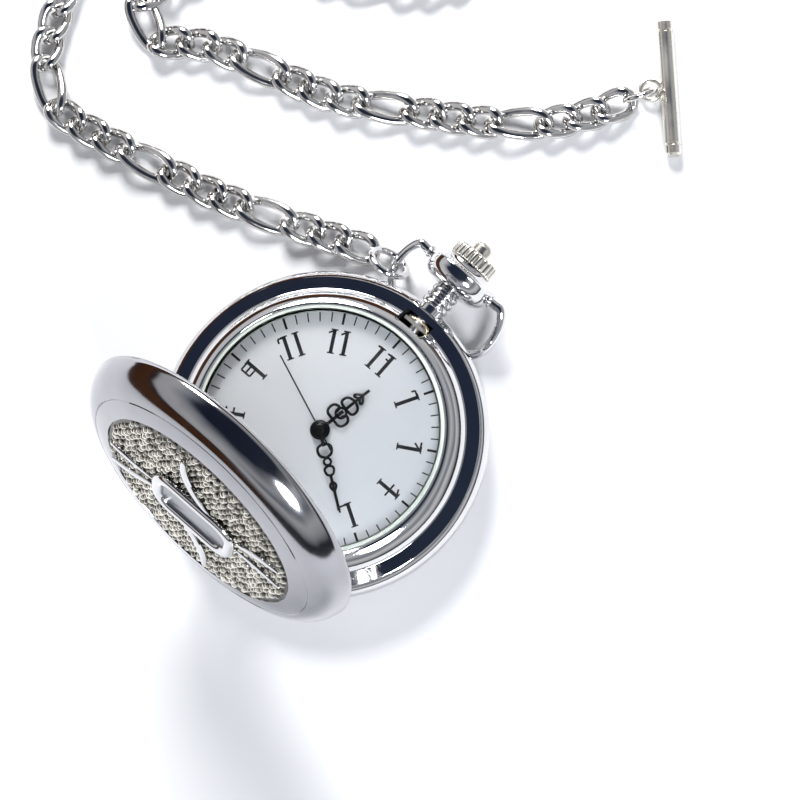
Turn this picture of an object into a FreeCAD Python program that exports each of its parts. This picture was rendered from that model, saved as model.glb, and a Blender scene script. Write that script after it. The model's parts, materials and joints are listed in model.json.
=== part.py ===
"""Pocket watch with a sprung front lid, a quartz movement, a bow and a waist chain with a T-bar.

Frame: the origin is the middle of the flat on the back cover, on the axis of the hands.
+Z points out through the dial, +Y towards 12 o'clock and the crown, +X towards 3 o'clock.
The watch lies on its back with the lid standing open. All lengths are in millimetres.
"""
import FreeCAD, Part
import Sketcher

import math
import os
import re

from FreeCAD import Rotation, Vector

X_AXIS, Y_AXIS, Z_AXIS = Vector(1, 0, 0), Vector(0, 1, 0), Vector(0, 0, 1)

# Driving dimensions: name, value, meaning. Lengths in mm, angles in degrees.
SIZES = [
    ("case_radius", 22.5, "widest radius of the case middle"),
    ("widest_height", 5.0, "height of that widest circle"),
    ("seam_height", 3.5, "height of the seam between back cover and case middle"),
    ("seam_inset", 0.25, "how far the seam stands in from the widest circle"),
    ("side_roundness", 2.2, "radius of the rounded side above the widest circle"),
    ("shoulder_height", 7.05, "height of the shoulder at its outer edge"),
    ("shoulder_rise", 0.3, "how much higher the shoulder is at the bezel"),
    ("back_wall", 0.8, "thickness of the back cover"),
    ("lip_wall", 0.65, "thickness of the snap lip"),
    ("lip_height", 4.0, "height of the top of the snap lip"),
    ("lip_room", 0.45, "free height above the snap lip, which holds the gasket"),
    ("bezel_top", 9.7, "height of the bezel's inner edge"),
    ("bezel_foot", 6.85, "height of the bezel's underside"),
    ("bezel_slope_radius", 3.6, "radius of the bezel's rounded slope"),
    ("crystal_base", 9.3, "height of the underside of the crystal"),
    ("crystal_wall", 0.75, "thickness of the crystal at its edge"),
    ("crystal_dome", 0.35, "how far the middle of the crystal stands above its edge"),
    ("gasket_wall", 0.5, "radial thickness of the crystal gasket"),
    ("dial_top", 8.0, "height of the printed face of the dial"),
    ("dial_wall", 0.4, "thickness of the dial"),
    ("dial_hole", 1.0, "radius of the hole in the dial for the hour tube"),
    ("fit_gap", 0.05, "gap between fixed pieces that fit together"),
    ("run_gap", 0.05, "radial clearance of a shaft in its bore"),
    ("hinge_height", 8.7, "height of the lid's hinge axis and widest circle"),
    ("lid_rim_height", 7.42, "height of the closed lid's lower edge"),
    ("lid_rim_round", 4.6, "radius of the lid's rounded rim"),
    ("lid_groove_height", 12.3, "height of the closed lid at that groove"),
    ("lid_groove_depth", 0.12, "depth and width of the fine groove"),
    ("lid_wall", 0.5, "thickness of the lid"),
    ("medallion_edge", 12.85, "height of the closed lid at the medallion's edge"),
    ("medallion_top", 13.15, "height of the closed lid in its middle"),
    ("medallion_wall", 0.4, "thickness of the medallion"),
    ("frame_length", 14.0, "length of the raised frame on the lid, along X"),
    ("frame_width", 8.6, "width of the raised frame on the lid"),
    ("frame_rise", 0.75, "how far the frame stands above the medallion's middle"),
    ("plaque_length", 9.6, "length of the plaque in the frame"),
    ("plaque_width", 4.6, "width of the plaque in the frame"),
    ("plaque_wall", 0.4, "thickness of the plaque"),
    ("lid_open", 72.1, "angle from closed at which the lid stands open"),
    ("knuckle_radius", 0.9, "radius of the hinge knuckles"),
    ("knuckle_half", 2.5, "half the length of the lid's knuckle"),
    ("side_knuckle", 1.9, "length of each knuckle on the case"),
    ("knuckle_gap", 0.1, "gap between knuckles along the pin"),
    ("hinge_pin_radius", 0.4, "radius of the hinge pin"),
    ("stem_height", 6.0, "height of the crown's axis"),
    ("stem_radius", 0.8, "outer radius of the hollow setting stem"),
    ("rod_radius", 0.35, "radius of the push rod in the stem"),
    ("neck_radius", 2.05, "radius of the neck at the crest of its ribs"),
    ("rib_pitch", 1.0, "spacing of the three ribs on the neck"),
    ("rib_depth", 0.4, "depth of the grooves between the ribs"),
    ("bell_radius", 5.0, "widest radius of the bell that carries the bow"),
    ("crown_radius", 3.4, "radius of the crown at the crest of its flutes"),
    ("crown_length", 2.0, "length of the crown"),
    ("flute_count", 24, "number of flutes round the crown"),
    ("flute_radius", 0.28, "radius of each flute"),
    ("button_radius", 1.5, "radius of the push button"),
    ("button_length", 1.9, "length of the button's cap"),
    ("slot_half", 2.25, "half the width of the catch's slot"),
    ("slot_floor", 4.2, "height of the slot's floor"),
    ("bow_wire", 0.65, "radius of the bow's wire"),
    ("bow_half", 8.5, "half the widest width of the bow, to the middle of its wire"),
    ("bow_reach", 9.3, "distance from the bow's pivots to its far side"),
    ("bow_drop", 34.8, "angle by which the bow hangs below the plane of the case"),
    ("plate_base", 6.0, "height of the main plate's back"),
    ("plate_top", 6.9, "height of the main plate's dial side"),
    ("bridge_base", 3.6, "height of the train bridge's back"),
    ("bridge_wall", 0.4, "thickness of the train bridge"),
    ("battery_height", 2.1, "thickness of the button cell"),
    ("seconds_radius", 0.15, "radius of the seconds arbor"),
    ("cannon_radius", 0.45, "outer radius of the minute hand's tube"),
    ("hour_tube_radius", 0.75, "outer radius of the hour hand's tube"),
    ("tube_gap", 0.04, "radial clearance between the tubes of the hands"),
    ("hour_hand_base", 8.4, "height of the hour hand's underside"),
    ("minute_hand_base", 8.72, "height of the minute hand's underside"),
    ("second_hand_base", 9.02, "height of the seconds hand's underside"),
    ("hand_wall", 0.12, "thickness of a hand"),
    ("hour_angle", 10.4, "hour hand at rest, clockwise from 12 o'clock"),
    ("minute_angle", 124.8, "minute hand at rest, clockwise from 12 o'clock"),
    ("second_angle", 290.7, "seconds hand at rest, clockwise from 12 o'clock"),
    ("link_wire", 0.5, "radius of the chain's wire"),
    ("link_half_width", 1.8, "half the width of a link, to the middle of its wire"),
    ("link_twist", 0.85, "how far a link's curve rises and falls as it twists"),
    ("short_half", 2.75, "half the length of a short link, to the middle of its wire"),
    ("long_half", 4.2, "half the length of a long link, to the middle of its wire"),
    ("ring_radius", 2.7, "radius of a jump ring, to the middle of its wire"),
    ("ring_wire", 0.5, "radius of a jump ring's wire"),
    ("bar_radius", 1.15, "radius of the T-bar"),
    ("bar_length", 19.1, "length of the T-bar"),
    ("bar_bead", 0.25, "depth of the grooves near the T-bar's ends"),
    ("eye_radius", 1.4, "radius of the T-bar's eye, to the middle of its wire"),
    ("eye_wire", 0.35, "radius of the eye's wire"),
    ("bar_ring_radius", 2.2, "radius of the ring in that eye, to the middle of its wire"),
    ("bar_ring_wire", 0.4, "radius of that ring's wire"),
    ("bar_ring_lean", 70, "angle between that ring and the table"),
    ("bar_ring_reach", 0.8, "how far that ring's middle lies beyond the last link's end"),
    ("leaf_length", 4.2, "length of a leaf"),
    ("leaf_width", 1.0, "width of a leaf"),
    ("leaf_rise", 0.35, "how far the leaves stand above the medallion's middle"),
    ("spring_span", 60, "angle that each flat spring spans round the case"),
    ("catch_top", 7.6, "height of the top of the catch"),
    ("cross_pin_radius", 0.25, "radius of that cross pin"),
    ("crown_hub", 0.3, "thickness of the crown's web on the stem"),
    ("crown_pull", 0.8, "how far the crown pulls out to set the hands"),
    ("button_travel", 0.8, "how far the button presses in"),
    ("bow_pin_radius", 0.42, "radius of the bow's pivot pins"),
    ("bow_pin_depth", 1.7, "length of the bow's pivot pins"),
    ("hour_hub", 1.35, "radius of the hour hand's hub"),
    ("minute_hub", 0.95, "radius of the minute hand's hub"),
    ("second_hub", 0.6, "radius of the seconds hand's hub"),
    ("mesh_gap", 0.02, "how much smaller than its pitch circle each wheel and pinion is"),
    ("arbor_radius", 0.12, "radius of the arbors of the train"),
    ("arbor_gap", 0.02, "radial clearance of an arbor in its bearing"),
    ("wheel_wall", 0.15, "thickness of a wheel of the train"),
    ("seconds_level", 4.5, "height of the underside of the seconds wheel"),
    ("intermediate_level", 4.8, "height of the underside of the intermediate wheel"),
    ("third_level", 5.05, "height of the underside of the third wheel"),
    ("centre_level", 5.47, "height of the underside of the centre wheel"),
    ("magnet_base", 5.2, "height of the underside of the rotor's magnet"),
    ("magnet_height", 0.6, "thickness of the rotor's magnet"),
    ("magnet_radius", 0.7, "radius of the rotor's magnet"),
    ("stator_wall", 0.4, "thickness of the stator"),
    ("coil_place", 9.4, "distance from the hands to the drive coil, for a movement of radius 13"),
    ("core_radius", 0.4, "radius of the coil's core"),
    ("screw_radius", 0.6, "radius of the screw heads on the bridge"),
    ("screw_head", 0.35, "thickness of those heads"),
    ("bar_groove", 1.5, "distance from each end of the T-bar to its groove"),
    ("bar_groove_half", 0.2, "half the width of that groove"),
]

# Sizes that follow the driving ones: name, expression, meaning.
FOLLOWING = [
    ("shoulder_radius", "case_radius - 1.15", "outer radius of the shoulder that the lid closes on"),
    ("cavity_radius", "case_radius - 4.5", "bore of the case middle round the movement holder"),
    ("back_flat", "case_radius - 7", "radius of the flat that the watch rests on"),
    ("back_lip_radius", "case_radius - 1.55", "outer radius of the back cover's snap lip"),
    ("bezel_radius", "case_radius - 3.6", "outer radius of the bezel"),
    ("crystal_radius", "case_radius - 6.1", "radius of the crystal"),
    ("dial_radius", "case_radius - 5.1", "radius of the dial"),
    ("lid_radius", "case_radius - 0.46", "widest radius of the lid"),
    ("lid_lip_radius", "case_radius - 2.3", "inner radius of the lid's lower edge"),
    ("lid_groove_radius", "case_radius - 4.1", "radius of the fine groove round the lid"),
    ("medallion_radius", "case_radius - 6.9", "radius of the beaded medallion in the lid"),
    ("neck_start", "case_radius - 0.9", "distance from the hands to the foot of the neck"),
    ("bell_height", "case_radius + 5.75", "distance from the hands to the bow's pivots"),
    ("bell_end", "case_radius + 7.3", "distance from the hands to the outer face of the bell"),
    ("crown_start", "case_radius + 7.55", "distance from the hands to the crown's inner face"),
    ("button_end", "case_radius + 11.4", "distance from the hands to the tip of the button"),
    ("slot_inner", "case_radius - 4.4", "inner wall of the visible slot, along Y"),
    ("slot_outer", "case_radius - 2.15", "outer wall of the slot, along Y"),
    ("holder_radius", "case_radius - 4.6", "outer radius of the movement holder"),
    ("cross_pin_place", "case_radius - 2.7", "distance from the hands to the pin through the push rod"),
    ("movement_radius", "case_radius*26/45", "radius of the movement"),
    ("stem_inner_end", "movement_radius*19/26", "distance from the hands to the stem's inner end"),
    ("foot_place", "movement_radius*11/13", "distance of the dial's feet from the axis of the hands"),
    ("leaf_start", "medallion_radius - 6", "distance from the lid's middle to the leaves on the medallion"),
    ("hour_hand_length", "crystal_radius - 7.9", "length of the hour hand"),
    ("minute_hand_length", "crystal_radius - 5.05", "length of the minute hand"),
    ("second_hand_length", "crystal_radius - 4.9", "length of the seconds hand"),
    ("coil_radius", "1.1*gear_scale", "radius of the drive coil"),
    ("battery_radius", "3.4*gear_scale", "radius of the button cell"),
    ("short_pitch", "2*short_half - 2.7*link_wire", "length of a short link between its contact points"),
    ("long_pitch", "2*long_half - 2.7*link_wire", "length of a long link between its contact points"),
    ("gear_scale", "movement_radius/13", "size of the gears, 1 for a movement of radius 13"),
    ("seconds_wheel_radius", "1.8*gear_scale", "pitch radius of the seconds wheel"),
    ("intermediate_pinion_radius", "seconds_wheel_radius/5", "pitch radius of the first pinion"),
    ("intermediate_wheel_radius", "1.8*gear_scale", "pitch radius of the intermediate wheel"),
    ("rotor_pinion_radius", "intermediate_wheel_radius/6", "pitch radius of the rotor's pinion"),
    ("rotor_distance", "intermediate_wheel_radius + rotor_pinion_radius", "distance between those two axes"),
    ("first_distance", "seconds_wheel_radius + intermediate_pinion_radius", "from the hands to that axis"),
    ("seconds_pinion_radius", "0.25*gear_scale", "pitch radius of the pinion on the seconds arbor"),
    ("third_wheel_radius", "7.5*seconds_pinion_radius", "pitch radius of the third wheel"),
    ("centre_distance", "seconds_pinion_radius + third_wheel_radius", "from the hands to the third axis"),
    ("third_pinion_radius", "centre_distance/9", "pitch radius of the third wheel's pinion"),
    ("centre_wheel_radius", "8*third_pinion_radius", "pitch radius of the centre wheel"),
    ("cannon_pinion_radius", "0.6*gear_scale", "pitch radius of the cannon pinion"),
    ("minute_wheel_radius", "3*cannon_pinion_radius", "pitch radius of the minute wheel"),
    ("motion_distance", "cannon_pinion_radius + minute_wheel_radius", "from the hands to that wheel's axis"),
    ("minute_pinion_radius", "motion_distance/5", "pitch radius of the minute wheel's pinion"),
    ("hour_wheel_radius", "4*minute_pinion_radius", "pitch radius of the hour wheel"),
]

# The chain's route on the table, from its first link by the bow to the ring on the T-bar.
CHAIN_ROUTE = [
    (-14.4, 23.0), (-22.6, 19.7), (-34.0, 15.4), (-45.0, 12.9), (-54.0, 11.0), (-61.0, 11.6),
    (-66.3, 15.4), (-69.6, 20.6), (-72.2, 26.5), (-74.8, 33.6), (-76.2, 41.6), (-73.2, 49.8),
    (-66.4, 56.2), (-56.8, 63.2), (-47.4, 69.6), (-38.6, 72.4), (-30.8, 69.6), (-28.0, 63.0),
    (-31.8, 56.8), (-40.0, 51.6), (-50.0, 46.0), (-58.6, 39.4), (-63.6, 32.0), (-63.4, 24.6),
    (-57.6, 20.6), (-51.2, 23.4), (-45.6, 28.6), (-39.0, 32.6), (-32.0, 36.0), (-25.6, 39.4),
    (-18.6, 43.6), (-12.0, 47.6), (-6.6, 51.6), (-3.2, 56.2), (-0.6, 60.2), (0.9, 63.2),
]
# The T-bar's direction on the table, in degrees from +X.
BAR_ANGLE = -45.4

doc = FreeCAD.newDocument("pocket_watch")
sheet = doc.addObject("Spreadsheet::Sheet", "Sizes")
for row, (alias, number, meaning) in enumerate(SIZES, start=1):
    sheet.set(f"A{row}", alias)
    sheet.set(f"B{row}", str(number))
    sheet.setAlias(f"B{row}", alias)
    sheet.set(f"C{row}", meaning)
doc.recompute()

ALIASES = {alias for alias, _, _ in SIZES}
FOLLOWS = {name: text for name, text, _ in FOLLOWING}
NODES = []

gauge = doc.addObject("App::FeaturePython", "Gauge")
gauge.addProperty("App::PropertyFloat", "Reading")


# ---------------------------------------------------------------- helpers

def formula(text):
    """The expression with each named size pointed at its cell of the sheet.

    A size that follows others is written out in terms of those it follows.
    """
    def written_out(word):
        name = word[0]
        if name in FOLLOWS:
            return f"({formula(FOLLOWS[name])})"
        return f"Sizes.{name}" if name in ALIASES else name

    return re.sub(r"[a-z_]+", written_out, str(text))


def size(text):
    """The present value of an expression, read through the gauge object."""
    gauge.setExpression("Reading", formula(text))
    gauge.recompute()
    return gauge.Reading


def node(obj, name=None):
    """Lists an object as a sub-part of the watch, under its label."""
    if name:
        obj.Label = name
    NODES.append(obj)
    return obj


def bind(obj, **sizes):
    """Binds properties of an object to expressions of the sheet."""
    for name, text in sizes.items():
        obj.setExpression(name, formula(text))
    return obj


def place(obj, x=0, y=0, z=0, axis=Z_AXIS, angle=0):
    """Puts an object at (x, y, z), turned about an axis; all are expressions."""
    obj.Placement = FreeCAD.Placement(Vector(size(x), size(y), size(z)), Rotation(axis, size(angle)))
    for part, text in (("Base.x", x), ("Base.y", y), ("Base.z", z), ("Rotation.Angle", angle)):
        if re.search("[a-z]", str(text)):
            obj.setExpression(f"Placement.{part}", formula(text))
    return obj


def primitive(kind, name, **sizes):
    """A Part primitive with its sizes bound to expressions."""
    return bind(doc.addObject(f"Part::{kind}", name), **sizes)


def rod(name, radius, length, **where):
    """A cylinder that starts at its place and runs along its own Z axis."""
    return place(primitive("Cylinder", name, Radius=radius, Height=length), **where)


def rod_x(name, radius, length, x=0, y=0, z=0):
    """A cylinder along X, centred on x."""
    return rod(name, radius, length, x=f"{x} - ({length})/2", y=y, z=z, axis=Y_AXIS, angle=90)


def rod_y(name, radius, start, end, x=0, z="stem_height"):
    """A cylinder along Y from start to end."""
    return rod(name, radius, f"{end} - ({start})", x=x, y=start, z=z, axis=X_AXIS, angle=-90)


def block(name, x, y, z):
    """A box; each of x, y and z is a pair of expressions, from and to."""
    spans = [f"({high}) - ({low})" for low, high in (x, y, z)]
    box = primitive("Box", name, Length=spans[0], Width=spans[1], Height=spans[2])
    return place(box, x=x[0], y=y[0], z=z[0])


def cut(name, base, *tools):
    """base with the tools taken away."""
    tool = tools[0] if len(tools) == 1 else fuse(f"{name}_tools", *tools)
    result = doc.addObject("Part::Cut", name)
    result.Base, result.Tool = base, tool
    return result


def fuse(name, *pieces):
    """The pieces joined into one."""
    result = doc.addObject("Part::MultiFuse", name)
    result.Shapes = list(pieces)
    return result


def bundle(name, pieces):
    """Separate solids kept side by side in one object."""
    result = doc.addObject("Part::Compound", name)
    result.Links = list(pieces)
    return result


def origin_feature(body, role):
    """One of the body's own origin planes or axes."""
    return next(feature for feature in body.Origin.OriginFeatures if feature.Role == role)


def draw(sketch, outline):
    """Draws a closed outline of corners (a, b) and rounds (radius, side) between two corners.

    Every corner is held by its two distances from the origin and every round by its radius.
    """
    corners = [item for item in outline if item[0] != "round"]
    points = [Vector(size(a), size(b), 0) for a, b in corners]
    rounds = {}
    for place_in_list, item in enumerate(outline):
        if item[0] == "round":
            rounds[sum(other[0] != "round" for other in outline[:place_in_list]) - 1] = item[1:]
    edges = []
    for index, start in enumerate(points):
        end = points[(index + 1) % len(points)]
        if index not in rounds:
            edges.append((sketch.addGeometry(Part.LineSegment(start, end), False), 1, 2))
            continue
        radius, side = size(rounds[index][0]), rounds[index][1]
        middle, chord = (start + end) * 0.5, end - start
        across = Vector(-chord.y, chord.x, 0).normalize() * side
        depth = math.sqrt(radius**2 - (chord.Length / 2) ** 2)
        centre = middle - across * depth
        angles = [math.atan2(point.y - centre.y, point.x - centre.x) for point in (start, end)]
        if side > 0:
            angles.reverse()
        circle = Part.Circle(centre, Z_AXIS, radius)
        arc = Part.ArcOfCircle(circle, angles[0], angles[1] + (2 * math.pi if angles[1] < angles[0] else 0))
        number = sketch.addGeometry(arc, False)
        edges.append((number, 2, 1) if side > 0 else (number, 1, 2))
        held = sketch.addConstraint(Sketcher.Constraint("Radius", number, radius))
        sketch.setExpression(f"Constraints[{held}]", formula(rounds[index][0]))
    for index, (number, _, end) in enumerate(edges):
        following, start, _ = edges[(index + 1) % len(edges)]
        sketch.addConstraint(Sketcher.Constraint("Coincident", number, end, following, start))
    for index, (a, b) in enumerate(corners):
        number, start, _ = edges[index]
        for kind, text in (("DistanceX", a), ("DistanceY", b)):
            held = sketch.addConstraint(Sketcher.Constraint(kind, -1, 1, number, start, size(text)))
            if re.search("[a-z]", str(text)):
                sketch.setExpression(f"Constraints[{held}]", formula(text))


def sketch_on(body, role, outline):
    """A sketch of the outline on one of the body's origin planes."""
    sketch = body.newObject("Sketcher::SketchObject", "Outline")
    sketch.AttachmentSupport = [(origin_feature(body, role), "")]
    sketch.MapMode = "FlatFace"
    draw(sketch, outline)
    return sketch


def turned(name, outline):
    """A body turned about its Z axis from an outline of (radius, height) corners."""
    body = doc.addObject("PartDesign::Body", name)
    sketch = sketch_on(body, "XZ_Plane", outline)
    turn = body.newObject("PartDesign::Revolution", "Turn")
    turn.Profile = sketch
    turn.ReferenceAxis = (sketch, ["V_Axis"])
    turn.Angle = 360
    return body


def slab(name, outline, base, wall):
    """A body of the given wall, standing on height base, from an outline in X and Y."""
    body = doc.addObject("PartDesign::Body", name)
    pad = body.newObject("PartDesign::Pad", "Pad")
    pad.Profile = sketch_on(body, "XY_Plane", outline)
    bind(pad, Length=wall)
    body.Tip = pad
    return place(body, z=base)


def ring(name, inner, outer, low, high):
    """A turned ring of rectangular section."""
    return turned(name, [(inner, low), (outer, low), (outer, high), (inner, high)])


def standing(obj):
    """Turns a piece made about Z so that it lies along +Y at the crown's height."""
    return place(obj, z="stem_height", axis=X_AXIS, angle=-90)


def open_with_lid(obj):
    """Swings a piece of the closed lid up to the open angle, about the hinge axis."""
    sine, cosine = "sin(lid_open)", "cos(lid_open)"
    return place(
        obj,
        y=f"-lid_radius*(1 - {cosine}) + hinge_height*{sine}",
        z=f"hinge_height*(1 - {cosine}) + lid_radius*{sine}",
        axis=X_AXIS,
        angle="lid_open",
    )


# ---------------------------------------------------------------- case

def catch_slot(name, inner):
    """The space of the catch behind the shoulder, from its floor up through the shoulder."""
    return block(name, ("-slot_half", "slot_half"), (inner, "slot_outer"), ("slot_floor", "bezel_top"))


def make_case_middle():
    shell = turned("case_ring", [
        ("cavity_radius", "seam_height"),
        ("back_lip_radius - lip_wall - 2*fit_gap", "seam_height"),
        ("back_lip_radius - lip_wall - 2*fit_gap", "lip_height + lip_room"),
        ("back_lip_radius + fit_gap", "lip_height + lip_room"),
        ("back_lip_radius + fit_gap", "seam_height"),
        ("case_radius - seam_inset", "seam_height"),
        ("round", "4.6", -1),
        ("case_radius", "widest_height"),
        ("round", "side_roundness", -1),
        ("shoulder_radius", "shoulder_height"),
        ("bezel_radius + fit_gap", "shoulder_height + shoulder_rise"),
        ("bezel_radius + fit_gap", "bezel_foot - fit_gap"),
        ("cavity_radius", "bezel_foot - fit_gap"),
    ])
    outer = "knuckle_half + knuckle_gap + side_knuckle"
    knuckles, posts, spaces = [], [], []
    for side, sign in (("left", "-"), ("right", "")):
        start = "knuckle_half + knuckle_gap" if not sign else f"-({outer})"
        centre = f"{sign}(knuckle_half + knuckle_gap + side_knuckle/2)"
        knuckles.append(rod_x(f"case_knuckle_{side}", "knuckle_radius", "side_knuckle", x=centre,
                              y="-lid_radius", z="hinge_height"))
        posts.append(block(f"case_knuckle_post_{side}", (start, f"{start} + side_knuckle"),
                           ("-lid_radius - 0.35*knuckle_radius", "-lid_radius + 0.9*knuckle_radius"),
                           ("widest_height", "hinge_height")))
    whole = fuse("case_with_knuckles", shell, *knuckles, *posts)
    pin_hole = rod_x("hinge_hole", "hinge_pin_radius", f"2*({outer}) + 2", y="-lid_radius", z="hinge_height")
    stem_hole = rod_y("case_stem_hole", "stem_radius + run_gap", "cavity_radius - 2", "case_radius + 1")
    slot = catch_slot("case_catch_slot", "slot_inner - 0.5")
    foot_hole = rod_y("pendant_foot_hole", "neck_radius - rib_depth + 0.02", "neck_start", "case_radius + 1")
    channel = ring("case_spring_channel", "cavity_radius - 1", "cavity_radius + 0.9",
                   "slot_floor", "slot_floor + 0.7")
    return node(cut("case_middle", whole, pin_hole, stem_hole, foot_hole, slot, channel))


def make_back():
    node(turned("back_cover", [
        (0, 0),
        ("back_flat", 0),
        ("round", "8.4", -1),
        ("case_radius - seam_inset", "seam_height - fit_gap"),
        ("back_lip_radius", "seam_height - fit_gap"),
        ("back_lip_radius", "lip_height"),
        ("back_lip_radius - lip_wall", "lip_height"),
        ("back_lip_radius - lip_wall", "seam_height - back_wall"),
        ("back_flat", "back_wall"),
        (0, "back_wall"),
    ]))
    node(ring("back_gasket", "back_lip_radius - lip_wall", "back_lip_radius",
              "lip_height", "lip_height + lip_room"))


def make_bezel_and_crystal():
    seat = "crystal_radius + gasket_wall"
    ledge = "crystal_base - 0.35"
    ring_shape = turned("bezel_ring", [
        ("crystal_radius + 0.1", "dial_top"),
        ("crystal_radius + 0.1", ledge),
        (seat, ledge),
        (seat, "bezel_top"),
        (f"{seat} + 0.25", "bezel_top"),
        ("round", "bezel_slope_radius", 1),
        ("bezel_radius", "shoulder_height + shoulder_rise + 0.2"),
        ("bezel_radius", "bezel_foot"),
        ("dial_radius + fit_gap", "bezel_foot"),
        ("dial_radius + fit_gap", "dial_top"),
    ])
    stem_groove = rod_y("bezel_stem_groove", "stem_radius + 2*run_gap", "dial_radius - 1", "bezel_radius + 1")
    node(cut("bezel", ring_shape, catch_slot("bezel_catch_slot", "slot_inner"), stem_groove))
    node(turned("crystal_gasket", [
        ("crystal_radius - 0.25", ledge),
        (seat, ledge),
        (seat, "bezel_top - 0.1"),
        ("crystal_radius", "bezel_top - 0.1"),
        ("crystal_radius", "crystal_base"),
        ("crystal_radius - 0.25", "crystal_base"),
    ]))
    node(turned("crystal", [
        (0, "crystal_base"),
        ("crystal_radius", "crystal_base"),
        ("crystal_radius", "crystal_base + crystal_wall"),
        ("round", "(crystal_radius^2 + crystal_dome^2)/(2*crystal_dome)", -1),
        (0, "crystal_base + crystal_wall + crystal_dome"),
    ]))


# ---------------------------------------------------------------- lid

def make_lid():
    inner_rim = "lid_radius - lid_wall*2"
    shell = turned("lid_turned", [
        ("lid_lip_radius", "lid_rim_height"),
        ("lid_radius - 0.2", "lid_rim_height"),
        ("round", "4", -1),
        ("lid_radius", "hinge_height"),
        ("round", "lid_rim_round", -1),
        ("lid_groove_radius", "lid_groove_height"),
        ("lid_groove_radius - lid_groove_depth", "lid_groove_height - lid_groove_depth"),
        ("lid_groove_radius - 2*lid_groove_depth", "lid_groove_height + 0.05"),
        ("medallion_radius + fit_gap", "medallion_edge"),
        ("medallion_radius + fit_gap", "medallion_edge - medallion_wall"),
        (0, "medallion_top - medallion_wall"),
        (0, "medallion_top - medallion_wall - lid_wall"),
        ("medallion_radius", "medallion_edge - medallion_wall - lid_wall"),
        ("lid_groove_radius - 0.3", "lid_groove_height - 1.6*lid_wall"),
        (inner_rim, "hinge_height + 0.3"),
        ("lid_lip_radius", "hinge_height - 0.5"),
    ])
    knuckle = rod_x("lid_knuckle", "knuckle_radius", "2*knuckle_half", y="-lid_radius", z="hinge_height")
    hook_root = block("lid_hook_root", ("-slot_half + 0.75", "slot_half - 0.75"),
                      ("slot_outer - 0.6", "slot_outer - 0.2"), ("lid_rim_height - 0.5", "hinge_height"))
    hook_nose = block("lid_hook_nose", ("-slot_half + 0.75", "slot_half - 0.75"),
                      ("slot_outer - 0.8", "slot_outer - 0.2"),
                      ("lid_rim_height - 0.5", "lid_rim_height - 0.3"))
    body = fuse("lid_joined", shell, knuckle, hook_root, hook_nose)
    room = "knuckle_radius + 0.15"
    outer = "knuckle_half + 2*knuckle_gap + side_knuckle"
    notches = []
    for side, start, end in (("left", f"-({outer})", "-knuckle_half"), ("right", "knuckle_half", outer)):
        middle = f"({start} + {end})/2"
        notches.append(rod_x(f"lid_notch_{side}", room, f"{end} - ({start})", x=middle,
                             y="-lid_radius", z="hinge_height"))
        notches.append(block(f"lid_notch_low_{side}", (start, end),
                             ("-lid_radius - 2", f"-lid_radius + {room}"),
                             ("lid_rim_height - 1", "hinge_height")))
    hole = rod_x("lid_pin_hole", "hinge_pin_radius + run_gap", "2*knuckle_half + 2", y="-lid_radius",
                 z="hinge_height")
    notches.append(rod_y("lid_notch_neck", "neck_radius - rib_depth + 0.3", "slot_outer", "lid_radius + 1"))
    node(open_with_lid(cut("lid_shell", body, *notches, hole)))
    node(rod_x("lid_hinge_pin", "hinge_pin_radius",
               "2*(knuckle_half + knuckle_gap + side_knuckle)", y="-lid_radius", z="hinge_height"))


def rounded_plate(name, length, width, low, high):
    """A plate along X with round ends, standing between two heights."""
    half = f"({length} - {width})/2"
    middle = block(f"{name}_middle", (f"-{half}", half), (f"-({width})/2", f"({width})/2"), (low, high))
    ends = [rod(f"{name}_end_{side}", f"({width})/2", f"({high}) - ({low})", x=f"{sign}{half}", z=low)
            for side, sign in (("left", "-"), ("right", ""))]
    return fuse(name, middle, *ends)


def spoke(name, start, length, width, low, high, angle):
    """A bar that points away from the Z axis at an angle from +X."""
    bar = primitive("Box", name, Length=length, Width=width, Height=f"{high} - ({low})")
    return place(bar, x=f"({start})*cos({angle}) + ({width})/2*sin({angle})",
                 y=f"({start})*sin({angle}) - ({width})/2*cos({angle})", z=low, angle=angle)


def make_medallion():
    base = turned("medallion_turned", [
        (0, "medallion_top - medallion_wall + 0.04"),
        ("medallion_radius", "medallion_edge - medallion_wall + 0.04"),
        ("medallion_radius", "medallion_edge - 0.1"),
        (0, "medallion_top"),
    ])
    top = "medallion_top + frame_rise"
    frame = rounded_plate("lid_frame", "frame_length", "frame_width", "medallion_top - 0.2", top)
    leaves = [spoke(f"lid_leaf_{index}", "leaf_start", "leaf_length", "leaf_width",
                    "medallion_edge - 0.1", "medallion_top + leaf_rise", f"{45 * index} + 22.5")
              for index in range(8)]
    seat = block("plaque_seat", ("-plaque_length/2", "plaque_length/2"),
                 ("-plaque_width/2", "plaque_width/2"), (f"{top} - plaque_wall", f"{top} + 1"))
    node(open_with_lid(cut("lid_medallion", fuse("medallion_joined", base, frame, *leaves), seat)))
    plaque = block("plaque_plate", ("-plaque_length/2 + fit_gap", "plaque_length/2 - fit_gap"),
                   ("-plaque_width/2 + fit_gap", "plaque_width/2 - fit_gap"),
                   (f"{top} - plaque_wall", f"{top} - 0.12"))
    node(open_with_lid(bundle("lid_plaque", [plaque])))


# ---------------------------------------------------------------- springs, catch, crown and button

def make_springs():
    for name, start in (("catch_spring", 100), ("lid_spring", 215)):
        outer = rod(f"{name}_outer", "cavity_radius + 0.75", 0.5, z="slot_floor + 0.1", angle=start)
        bind(outer, Angle="spring_span")
        inner = rod(f"{name}_inner", "cavity_radius + 0.2", 1.5, z="slot_floor - 0.4")
        node(cut(name, outer, inner))


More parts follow.
